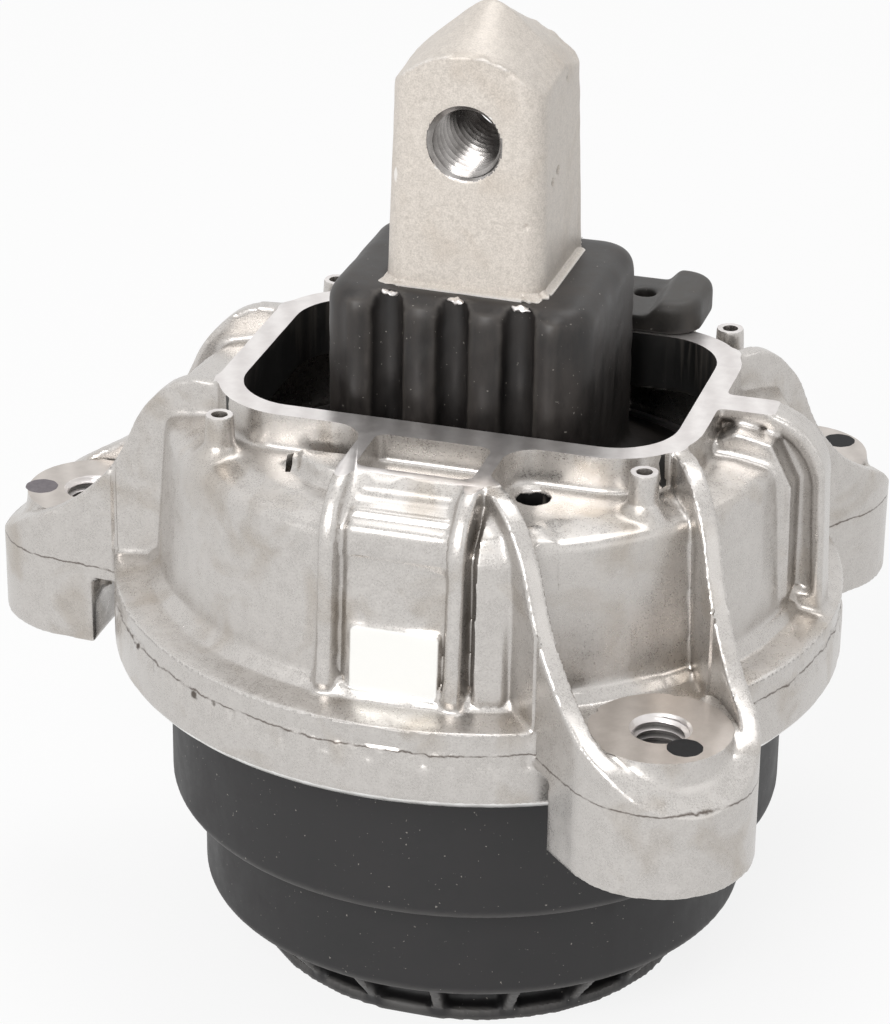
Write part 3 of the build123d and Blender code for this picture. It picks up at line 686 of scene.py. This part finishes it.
def makeGrooveSpots(place):
    shaped = bmesh.new()
    size = Matrix.Diagonal((*(value * mm for value in place["size"]), 1))
    for side in (-1, 1):
        for column in (-1, 0, 1):
            centre = (column * body["flutePitch"] * mm, side * place["depth"] * mm, place["height"] * mm)
            matrix = Matrix.Translation(centre) @ size
            bmesh.ops.create_icosphere(shaped, subdivisions=3, radius=1.0, matrix=matrix)
    for vert in shaped.verts:
        vert.co += 0.5 * mm * noise.noise_vector(vert.co / mm * 1.1)
    return writeShape(shaped, bpy.data.meshes.new("grooveSpots"))


grooveMesh = makeGrooveSpots(groovePlace)


# Round ink dots stamped on the machined pads

inkDots = {"left": (-87.9, -2.5), "front": (55.6, -65.7), "rear": (55.9, 67.1)}
inkRings = ((2.6, 0.03), (3.05, 0.025), (3.15, 0.0))  # radius and height over the pad


def makeInkDot(centre, segments=48):
    shaped = bmesh.new()
    middle = shaped.verts.new(Vector((*centre, body["padTop"] + inkRings[0][1])) * mm)
    rings = []
    for radius, height in inkRings:
        ring = []
        for index in range(segments):
            x, y = polar(radius * (1 + 0.012 * math.sin(5 * index)), 360 / segments * index)
            point = Vector((centre[0] + x, centre[1] + y, body["padTop"] + height))
            ring.append(shaped.verts.new(point * mm))
        rings.append(ring)
    for index in range(segments):
        after = (index + 1) % segments
        shaped.faces.new((middle, rings[0][index], rings[0][after]))
        for inner, outer in zip(rings, rings[1:]):
            shaped.faces.new((inner[index], outer[index], outer[after], inner[after]))
    shaped.faces.new(list(reversed(rings[-1])))
    bmesh.ops.recalc_face_normals(shaped, faces=shaped.faces)
    return writeShape(shaped, bpy.data.meshes.new("inkDot"))


# Colours and materials

def hexColour(code):
    channels = [int(code[i:i + 2], 16) / 255 for i in (1, 3, 5)]
    linear = [c / 12.92 if c <= 0.04045 else ((c + 0.055) / 1.055) ** 2.4 for c in channels]
    return (*linear, 1.0)


def perMm(size):
    return 1000.0 / size  # texture scale that gives features of this many millimetres


def grey(value):
    return (value, value, value, 1.0)


def addNode(tree, kind, links=None, **settings):
    made = tree.nodes.new(kind)
    for name, value in settings.items():
        setattr(made, name, value)
    for socket, value in (links or {}).items():
        if isinstance(value, bpy.types.NodeSocket):
            tree.links.new(value, made.inputs[socket])
        else:
            made.inputs[socket].default_value = value
    return made


def mathNode(tree, operation, *values):
    return addNode(tree, "ShaderNodeMath", dict(enumerate(values)), operation=operation).outputs[0]


def vectorNode(tree, operation, *values):
    result = "Value" if operation in ("LENGTH", "DISTANCE") else "Vector"
    return addNode(tree, "ShaderNodeVectorMath", dict(enumerate(values)), operation=operation).outputs[result]


def noiseNode(tree, coords, size, detail, roughness=0.5, distortion=0.0, result="Fac"):
    return addNode(tree, "ShaderNodeTexNoise", {
        "Vector": coords, "Scale": perMm(size), "Detail": detail, "Roughness": roughness,
        "Distortion": distortion,
    }).outputs[result]


def rangeNode(tree, value, given, wanted):
    return addNode(tree, "ShaderNodeMapRange", {
        "Value": value, "From Min": given[0], "From Max": given[1], "To Min": wanted[0], "To Max": wanted[1],
    }).outputs["Result"]


def rampNode(tree, value, *stops):
    made = addNode(tree, "ShaderNodeValToRGB", {"Fac": value})
    for element, (place, colour) in zip(made.color_ramp.elements, stops):
        element.position = place
        element.color = colour
    return made.outputs["Color"]


def mixNode(tree, share, first, second, **settings):
    made = addNode(tree, "ShaderNodeMix", {"Factor": share, "A": first, "B": second}, **settings)
    return made.outputs["Result"]


def mixColour(tree, share, first, second, blend="MIX"):
    return mixNode(tree, share, first, second, data_type="RGBA", blend_type=blend)


def startMaterial(name):
    material = bpy.data.materials.new(name)
    material.use_nodes = True
    tree = material.node_tree
    tree.nodes.clear()
    shader = addNode(tree, "ShaderNodeBsdfPrincipled")
    addNode(tree, "ShaderNodeOutputMaterial", {"Surface": shader.outputs["BSDF"]})
    coords = addNode(tree, "ShaderNodeTexCoord").outputs["Object"]
    return material, tree, shader, coords


# Joins the colour, the roughness and a relief of so many millimetres to the shader
def joinShader(tree, shader, colour, rough, relief, strength, depth):
    bump = addNode(tree, "ShaderNodeBump", {"Height": relief, "Strength": strength, "Distance": depth * mm})
    for socket, value in (("Base Color", colour), ("Roughness", rough), ("Normal", bump.outputs["Normal"])):
        tree.links.new(value, shader.inputs[socket])


# The crevice colour is painted shade in inner corners, the edge colour marks worn edges together with a
# painted highlight, and the facet colour is partly a painted reflection
castLook = {
    "light": "#CDC9C5", "dark": "#BAB6B2", "stain": "#CFC4B4", "creviceShade": "#756F69", "edge": "#F6F4F1",
    "grit": 0.34, "cloud": 2.6, "blotch": 14.0, "roughness": 0.3, "gritDepth": 0.012, "metallic": 0.85,
    "seam": "#5A5049", "facet": "#FDFCF8", "facetRoughness": 0.2, "nick": "#4A4038", "fray": 0.8,
    "nicks": (((-51.9, -45.7, 72.2), 0.9), ((-36.1, -58.9, 71.4), 1.1), ((-31.6, -61.5, 71.7), 0.8)),
}


# Darkness of inner corners, from how little of the surroundings they see within so many millimetres
def cornerShade(tree, reach, low, high):
    seen = addNode(tree, "ShaderNodeAmbientOcclusion", {"Distance": reach * mm}, samples=6, only_local=True)
    return rangeNode(tree, seen.outputs["AO"], (low, high), (1.0, 0.0))


# Share of worn metal or rubber along the outer edges, together with a painted highlight there
def edgeWearAndShine(tree, low, high, most):
    pointy = addNode(tree, "ShaderNodeNewGeometry").outputs["Pointiness"]
    return rampNode(tree, pointy, (low, grey(0.0)), (high, grey(most)))


# Dark broken line where the die halves met, round the outside of the rim and the ears
def seamLine(tree, coords, place):
    split = addNode(tree, "ShaderNodeSeparateXYZ", {0: coords}).outputs
    flat = addNode(tree, "ShaderNodeCombineXYZ", {0: split[0], 1: split[1]}).outputs[0]
    radius = vectorNode(tree, "LENGTH", flat)
    outside = mathNode(tree, "GREATER_THAN", radius, (body["rimRadius"] - place["lineInset"]) * mm)
    height = split[2]
    for size, swing in place["lineSwings"]:
        height = mathNode(tree, "MULTIPLY_ADD", noiseNode(tree, coords, size, 2.0), swing * mm, height)
    middle = place["height"] + sum(swing for size, swing in place["lineSwings"]) / 2
    away = mathNode(tree, "ABSOLUTE", mathNode(tree, "SUBTRACT", height, middle * mm))
    near, far = place["lineHalf"]
    line = rangeNode(tree, away, (near * mm, far * mm), (0.9, 0.0))
    broken = rangeNode(tree, noiseNode(tree, coords, place["lineBreaks"], 3.0), (0.33, 0.5), (0.15, 1.0))
    return mathNode(tree, "MULTIPLY", mathNode(tree, "MULTIPLY", line, outside), broken)


# The flat low on each bridge, with rounded corners, that the die pressed smooth; the near-white colour
# painted on it is partly its polish and partly a painted reflection
def facetShape(tree, coords, place):
    split = addNode(tree, "ShaderNodeSeparateXYZ", {0: coords}).outputs
    shifted = addNode(tree, "ShaderNodeCombineXYZ", {
        0: mathNode(tree, "SUBTRACT", split[0], place["x"] * mm),
        2: mathNode(tree, "SUBTRACT", split[2], (place["low"] + place["high"]) / 2 * mm),
    }).outputs[0]
    halves = (place["half"] - place["corner"], 0, (place["high"] - place["low"]) / 2 - place["corner"])
    away = vectorNode(tree, "ABSOLUTE", shifted)
    away = vectorNode(tree, "SUBTRACT", away, tuple(value * mm for value in halves))
    far = vectorNode(tree, "LENGTH", vectorNode(tree, "MAXIMUM", away, (0, 0, 0)))
    border = ((place["corner"] - place["softness"]) * mm, place["corner"] * mm)
    inside = rangeNode(tree, far, border, (1.0, 0.0))
    outer = mathNode(tree, "GREATER_THAN", mathNode(tree, "ABSOLUTE", split[1]), place["outer"] * mm)
    return mathNode(tree, "MULTIPLY", inside, outer)


# Die-cast aluminium, shot blasted: a light warm grey with a fine sparkling grit, faintly stained,
# brighter on worn edges, which also get a painted highlight, with painted shade in its corners and dark spots
# at a few nicks
def dieCastAluminium(name, look):
    material, tree, shader, coords = startMaterial(name)
    grit = noiseNode(tree, coords, look["grit"], 2.0, 0.8)
    cloud = noiseNode(tree, coords, look["cloud"], 4.0, 0.6, 0.3)
    blotch = noiseNode(tree, coords, look["blotch"], 3.0, 0.5, 0.8)
    mixed = mixNode(tree, 0.35, grit, cloud)
    colour = rampNode(tree, mixed, (0.36, hexColour(look["dark"])), (0.62, hexColour(look["light"])))
    stain = rampNode(tree, blotch, (0.52, grey(0.0)), (0.72, grey(0.45)))
    colour = mixColour(tree, stain, colour, hexColour(look["stain"]), "MULTIPLY")
    # painted shade: inner corners darken towards the crevice colour
    colour = mixColour(tree, cornerShade(tree, 3.2, 0.25, 0.8), colour, hexColour(look["creviceShade"]))
    if look["seam"]:
        colour = mixColour(tree, seamLine(tree, coords, seam), colour, hexColour(look["seam"]))
    # worn outer edges, brightened also as a painted highlight
    colour = mixColour(tree, edgeWearAndShine(tree, 0.53, 0.61, 0.7), colour, hexColour(look["edge"]))
    warp = noiseNode(tree, coords, 0.8, 2.0, result="Color")
    frayed = vectorNode(tree, "MULTIPLY_ADD", warp, (look["fray"] * mm,) * 3, coords)
    for place, radius in look["nicks"]:
        centre = tuple((value + look["fray"] / 2) * mm for value in place)
        away = vectorNode(tree, "DISTANCE", frayed, centre)
        spot = rangeNode(tree, away, (0.5 * radius * mm, radius * mm), (0.9, 0.0))
        colour = mixColour(tree, spot, colour, hexColour(look["nick"]))
    rough = rangeNode(tree, mixed, (0.35, 0.65), (look["roughness"] - 0.08, look["roughness"] + 0.12))
    # the pressed facet: smoother, and painted near white, partly as a painted reflection
    if look["facet"]:
        pressedFacetGlare = facetShape(tree, coords, bridge["facet"])
        colour = mixColour(tree, pressedFacetGlare, colour, hexColour(look["facet"]))
        rough = mixNode(tree, pressedFacetGlare, rough, look["facetRoughness"])
    joinShader(tree, shader, colour, rough, grit, 0.5, look["gritDepth"])
    shader.inputs["Metallic"].default_value = look["metallic"]
    return material


machinedLook = {
    "light": "#E8E4E2", "dark": "#D7D2D0", "creviceShade": "#3C3937", "cutterStep": 0.9, "haze": 2.4,
    "roughness": 0.32, "grooveDepth": 0.008, "metallic": 0.85, "shadeReach": 5.0,
}


# Face-milled aluminium: smooth and bright, with fine arcs left by the cutter
def milledAluminium(name, look):
    material, tree, shader, coords = startMaterial(name)
    shifted = addNode(tree, "ShaderNodeMapping", {"Vector": coords, "Location": (0.31, 0.12, 0.0)})
    arcs = addNode(tree, "ShaderNodeTexWave", {
        "Vector": shifted.outputs["Vector"], "Scale": perMm(look["cutterStep"]) / 20,
        "Distortion": 0.6, "Detail": 2.0, "Detail Scale": 3.0,
    }, wave_type="RINGS", rings_direction="Z").outputs["Fac"]
    haze = noiseNode(tree, coords, look["haze"], 6.0, 0.7)
    mixed = mixNode(tree, 0.72, arcs, haze)
    colour = rampNode(tree, mixed, (0.3, hexColour(look["dark"])), (0.7, hexColour(look["light"])))
    # painted shade: inner corners darken towards the crevice colour
    shade = cornerShade(tree, look["shadeReach"], 0.2, 0.8)
    colour = mixColour(tree, shade, colour, hexColour(look["creviceShade"]))
    rough = rangeNode(tree, haze, (0.35, 0.65), (look["roughness"] - 0.02, look["roughness"] + 0.04))
    joinShader(tree, shader, colour, rough, arcs, 0.4, look["grooveDepth"])
    shader.inputs["Metallic"].default_value = look["metallic"]
    return material


# Moulded rubber or filled plastic: matt, clouded by handling, with pale dust specks on it
def mouldedDark(name, look):
    material, tree, shader, coords = startMaterial(name)
    drawn = addNode(tree, "ShaderNodeMapping", {"Vector": coords, "Scale": (1.0, 1.0, look["stretch"])})
    cloud = noiseNode(tree, drawn.outputs["Vector"], look["cloud"], 8.0, 0.7)
    colour = rampNode(tree, cloud, (0.35, hexColour(look["dark"])), (0.65, hexColour(look["light"])))
    # painted shade: inner corners and the grooves of the flutes darken towards near black
    shade = cornerShade(tree, look["shadeReach"], 0.4, 0.98)
    colour = mixColour(tree, shade, colour, hexColour("#080707"))
    start = look["speckStart"]
    dust = noiseNode(tree, coords, look["speck"], 2.0)
    specks = rampNode(tree, dust, (start, grey(0.0)), (start + 0.05, grey(look["dust"])))
    colour = mixColour(tree, specks, colour, hexColour("#B9B3AB"))
    # worn outer edges, lightened also as a painted highlight
    colour = mixColour(tree, edgeWearAndShine(tree, 0.51, 0.58, look["edge"]), colour, hexColour(look["edgeColour"]))
    rough = rangeNode(tree, cloud, (0.3, 0.7), (look["roughness"] - 0.08, look["roughness"] + 0.12))
    joinShader(tree, shader, colour, rough, cloud, 0.3, look["grain"])
    shader.inputs["IOR"].default_value = look["ior"]
    return material


# edge and edgeColour make worn edges with a painted highlight; shadeReach is how far the painted shade in
# corners reaches
springRubberLook = {
    "dark": "#141110", "light": "#322D2A", "cloud": 6.0, "speck": 0.8, "speckStart": 0.72, "dust": 0.5,
    "edge": 0.5, "edgeColour": "#7A736C", "roughness": 0.46, "grain": 0.12, "ior": 1.52,
    "stretch": 0.35, "shadeReach": 11.0,
}
stripRubberLook = {
    "dark": "#2C2A28", "light": "#3E3A36", "cloud": 5.0, "speck": 0.9, "speckStart": 0.74, "dust": 0.4,
    "edge": 0.15, "edgeColour": "#5A5653", "roughness": 0.5, "grain": 0.06, "ior": 1.52,
    "stretch": 1.0, "shadeReach": 3.0,
}
cupPlasticLook = {
    "dark": "#131213", "light": "#201E1F", "cloud": 9.0, "speck": 0.7, "speckStart": 0.72, "dust": 0.5,
    "edge": 0.7, "edgeColour": "#8A8784", "roughness": 0.55, "grain": 0.06, "ior": 1.53,
    "stretch": 1.0, "shadeReach": 4.0,
}


# Marking ink: dries to a thin dull film that takes the tone of the metal under it
def markingInk(name, dark, light):
    material, tree, shader, coords = startMaterial(name)
    film = noiseNode(tree, coords, 1.6, 5.0, 0.7)
    colour = rampNode(tree, film, (0.35, hexColour(dark)), (0.7, hexColour(light)))
    tree.links.new(colour, shader.inputs["Base Color"])
    shader.inputs["Roughness"].default_value = 0.65
    shader.inputs["IOR"].default_value = 1.35
    return material


cast = dieCastAluminium("dieCastAluminium", castLook)
postCast = dieCastAluminium("blastedAluminium", {
    **castLook, "light": "#DDD5CC", "dark": "#BFB7AE", "stain": "#E8E2DB", "grit": 0.3, "cloud": 1.2,
    "roughness": 0.42, "metallic": 0.2, "creviceShade": "#4A4642", "seam": None, "facet": None, "nick": "#5E5750",
    "nicks": tuple((place, 0.75 * radius) for place, radius, depth in postLook["nicks"][2:]),
})
milled = milledAluminium("milledAluminium", machinedLook)
milledPad = milledAluminium("milledPadAluminium", {**machinedLook, "light": "#CBC4BE", "dark": "#B8B1AB"})
# The tapped cross hole: its darker colours are painted shade inside the hole, and its corner colour is
# painted shade at the thread roots
tapped = milledAluminium("tappedAluminiumShaded", {
    **machinedLook, "light": "#B5B1AE", "dark": "#7F7B78", "creviceShade": "#0E0D0C", "roughness": 0.2,
    "metallic": 0.9, "shadeReach": 2.4,
})
turnedBright = milledAluminium("turnedBrightAluminium", {
    **machinedLook, "light": "#F2F1EF", "dark": "#DDDBD8",
})
springRubber = mouldedDark("mouldedNaturalRubber", springRubberLook)
wallRubber = mouldedDark("thinWallRubber", {
    **springRubberLook, "dark": "#121212", "light": "#242322", "dust": 0.2,
})
stripRubber = mouldedDark("mouldedStripRubber", stripRubberLook)
cupPlastic = mouldedDark("glassFilledNylon", cupPlasticLook)
greyInk = markingInk("greyMarkingInk", "#6B666A", "#7E797C")
blackInk = markingInk("blackMarkingInk", "#0E0E0F", "#1B1A1C")

for nodeName, finish in {
    "housing": cast, "core_post": postCast, "rubber_spring": springRubber, "spring_outer_ring": milled,
    "upper_channel_plate": cupPlastic, "lower_channel_plate": cupPlastic, "decoupler_membrane": springRubber,
    "rolling_bellows": springRubber, "bellows_ring": cupPlastic, "lower_cup": cupPlastic,
    "stop_strip": stripRubber,
}.items():
    for holder in nodes[nodeName].material_slots:
        holder.material = finish
print("materials ready")


# Dressing: the softened copies take their nodes' places and get their finishes

# Each face of a casting takes the finish whose number the chooser gives
def finishFaces(mesh, finishes, chooser):
    mesh.materials.clear()
    for finish in finishes:
        mesh.materials.append(finish)
    chosen = [chooser(polygon.center / mm, polygon.normal) for polygon in mesh.polygons]
    mesh.polygons.foreach_set("material_index", chosen)


def dress(name, work, finish, angle, replaced):
    mesh = work.data
    writePoints(mesh, np.clip(readPoints(mesh), *(np.array(cadBox) / mm)))
    shaped = bmesh.new()
    shaped.from_mesh(mesh)
    bmesh.ops.dissolve_degenerate(shaped, dist=0.012 * mm, edges=shaped.edges)
    writeShape(shaped, mesh)
    bpy.data.objects.remove(work)
    mesh.name = name
    if finish:
        mesh.materials.clear()
        mesh.materials.append(finish)
    shadeSmooth(mesh, angle)
    linkPiece(name, mesh, replaced)


zones = {
    "level": 0.999, "touching": 0.02, "beside": 0.1, "shelfHoleTop": 1.5, "windowFoot": 4, "earHole": 5.6,
    "chamferHalf": 1.8, "chamferRadii": (66, 69.3),
}


# 0 as cast, 1 the milled plate and the ear holes, 2 the rubber-coated walls of the window and of the
# hole in the shelf, 3 the turned chamfer under the rim, 4 a milled pad
def housingFinish(centre, normal):
    fromHole = math.hypot(centre.x - shelfHole["place"][0], centre.y - shelfHole["place"][1])
    inHole = fromHole < shelfHole["radius"] + zones["beside"]
    if inHole and centre.z < body["shelfTop"] - zones["shelfHoleTop"]:
        return 2
    if normal.z > zones["level"] and abs(centre.z - body["plateTop"]) < zones["touching"]:
        return 1
    if normal.z > zones["level"] and abs(centre.z - body["padTop"]) < zones["touching"]:
        return 4
    inLength = abs(centre.x) < body["windowLength"] / 2 + zones["beside"]
    inWidth = abs(centre.y) < body["windowWidth"] / 2 + zones["beside"]
    if inLength and inWidth and centre.z > body["ceiling"] - zones["windowFoot"]:
        return 2
    for angle in body["earAngles"]:
        x, y = polar(body["earCircle"], angle)
        if math.hypot(centre.x - x, centre.y - y) < zones["earHole"]:
            return 1
    low, high = zones["chamferRadii"]
    nearEdge = abs(centre.z - body["rimLow"]) < zones["chamferHalf"]
    return 3 if nearEdge and low < math.hypot(centre.x, centre.y) < high else 0


# 0 as cast, 1 the tapped cross hole
def postFinish(centre, normal):
    fromAxis = math.hypot(centre.x, centre.z - body["postHole"])
    inHole = fromAxis < body["postCore"] + postLook["threadDepth"] + 0.05
    return 1 if inHole and abs(normal.y) < 0.95 else 0


finishFaces(housingWork.data, (cast, milled, wallRubber, turnedBright, milledPad), housingFinish)
finishFaces(postWork.data, (postCast, tapped), postFinish)
dress("castHousing", housingWork, None, 38, ("housing",))
dress("castPost", postWork, None, 28, ("core_post",))
dress("flutedSpring", springWork, springRubber, 50, ("rubber_spring",))
dress("steppedCup", cupWork, cupPlastic, 38, ("lower_cup",))
dress("stopStrip", stripWork, stripRubber, 50, ("stop_strip",))

for name, mesh, finish, slot in (
    ("postFlash", flashMesh, postCast, "post_aluminium"),
    ("grooveSpots", grooveMesh, milled, "post_aluminium"),
    ("inkDotLeft", makeInkDot(inkDots["left"]), greyInk, "cup_plastic"),
    ("inkDotFront", makeInkDot(inkDots["front"]), blackInk, "cup_plastic"),
    ("inkDotRear", makeInkDot(inkDots["rear"]), blackInk, "cup_plastic"),
):
    mesh.materials.append(finish)
    shadeSmooth(mesh, 40)
    linkPiece(name, mesh)
print("pieces dressed")


# Camera, at the place that the photograph was taken from

cameraPlace = {
    "azimuth": 16.64, "elevation": 25.70, "roll": 0.626, "distance": 707.35 * mm,
    "aim": (-9.79 * mm, -2.92 * mm, 85.18 * mm), "focalPixels": 3748.5,
    "centrePixel": (425.2, 516.9), "picture": (890, 1024),
}


def placeCamera(place):
    azimuth = math.radians(place["azimuth"])
    elevation = math.radians(place["elevation"])
    back = Vector((
        math.sin(azimuth) * math.cos(elevation),
        -math.cos(azimuth) * math.cos(elevation),
        math.sin(elevation),
    ))
    level = Vector((math.cos(azimuth), math.sin(azimuth), 0))
    right = Matrix.Rotation(math.radians(place["roll"]), 3, back) @ level
    up = back.cross(right)
    data = bpy.data.cameras.new("photoCamera")
    wide, high = place["picture"]
    data.sensor_fit = "VERTICAL"
    data.sensor_height = 36.0
    data.lens = place["focalPixels"] / high * data.sensor_height
    data.shift_x = (wide / 2 - place["centrePixel"][0]) / high
    data.shift_y = (place["centrePixel"][1] - high / 2) / high
    data.clip_start = 0.05
    data.clip_end = 20
    matrix = Matrix((right, up, back)).transposed().to_4x4()
    matrix.translation = Vector(place["aim"]) + back * place["distance"]
    camera = linkObject("photoCamera", data)
    camera.matrix_world = matrix
    bpy.context.scene.camera = camera


placeCamera(cameraPlace)


# Floor, lamps and sky

studio = {
    "floor": "#F4F4F4", "floorSize": 6.0, "floorGlow": 0.85, "sky": 0.35, "lampTarget": (0, 0, 0.09),
    "lamps": {  # place, size and power
        "keyLamp": ((-0.35, -1.75, 1.25), 1.2, 29.0),
        "fillLamp": ((1.6, -0.7, 0.9), 0.9, 1.2),
        "topLamp": ((0.1, 0.5, 1.8), 1.2, 12.0),
    },
}


# Rays that see the background as plain white
def whiteRays(tree):
    path = addNode(tree, "ShaderNodeLightPath").outputs
    seen = path["Is Camera Ray"]
    for kind in ("Is Glossy Ray", "Is Transmission Ray"):
        seen = mathNode(tree, "MAXIMUM", seen, path[kind])
    return seen


def mixShaders(tree, share, first, second):
    made = addNode(tree, "ShaderNodeMixShader", {0: share, 1: first.outputs[0], 2: second.outputs[0]})
    return made.outputs[0]


def buildFloor(settings):
    half = settings["floorSize"] / 2
    mesh = bpy.data.meshes.new("floor")
    corners = [(-half, -half, 0), (half, -half, 0), (half, half, 0), (-half, half, 0)]
    mesh.from_pydata(corners, [], [(0, 1, 2, 3)])
    material, tree, shader = startMaterial("paintedFloor")[:3]
    shader.inputs["Base Color"].default_value = hexColour(settings["floor"])
    shader.inputs["Roughness"].default_value = 0.9
    glow = addNode(tree, "ShaderNodeEmission", {"Color": grey(1.0), "Strength": 1.0})
    share = mathNode(tree, "MULTIPLY", whiteRays(tree), settings["floorGlow"])
    tree.links.new(mixShaders(tree, share, shader, glow), tree.nodes["Material Output"].inputs["Surface"])
    mesh.materials.append(material)
    floor = linkObject("floor", mesh)


def buildSky(settings):
    world = bpy.data.worlds.new("studioSky")
    world.use_nodes = True
    tree = world.node_tree
    tree.nodes.clear()
    lightSky, whiteSky = [
        addNode(tree, "ShaderNodeBackground", {"Color": grey(1.0), "Strength": strength})
        for strength in (settings["sky"], 1.0)
    ]
    mixed = mixShaders(tree, whiteRays(tree), lightSky, whiteSky)
    addNode(tree, "ShaderNodeOutputWorld", {"Surface": mixed})
    bpy.context.scene.world = world


def hangLamps(settings):
    for name, (place, size, power) in settings["lamps"].items():
        data = bpy.data.lights.new(name, "AREA")
        data.shape = "SQUARE"
        data.size = size
        data.energy = power
        lamp = linkObject(name, data)
        lamp.location = place
        towards = Vector(settings["lampTarget"]) - Vector(place)
        lamp.rotation_euler = towards.to_track_quat("-Z", "Y").to_euler()


buildFloor(studio)
buildSky(studio)
hangLamps(studio)
bpy.context.scene.view_settings.view_transform = "Standard"
print("studio ready")
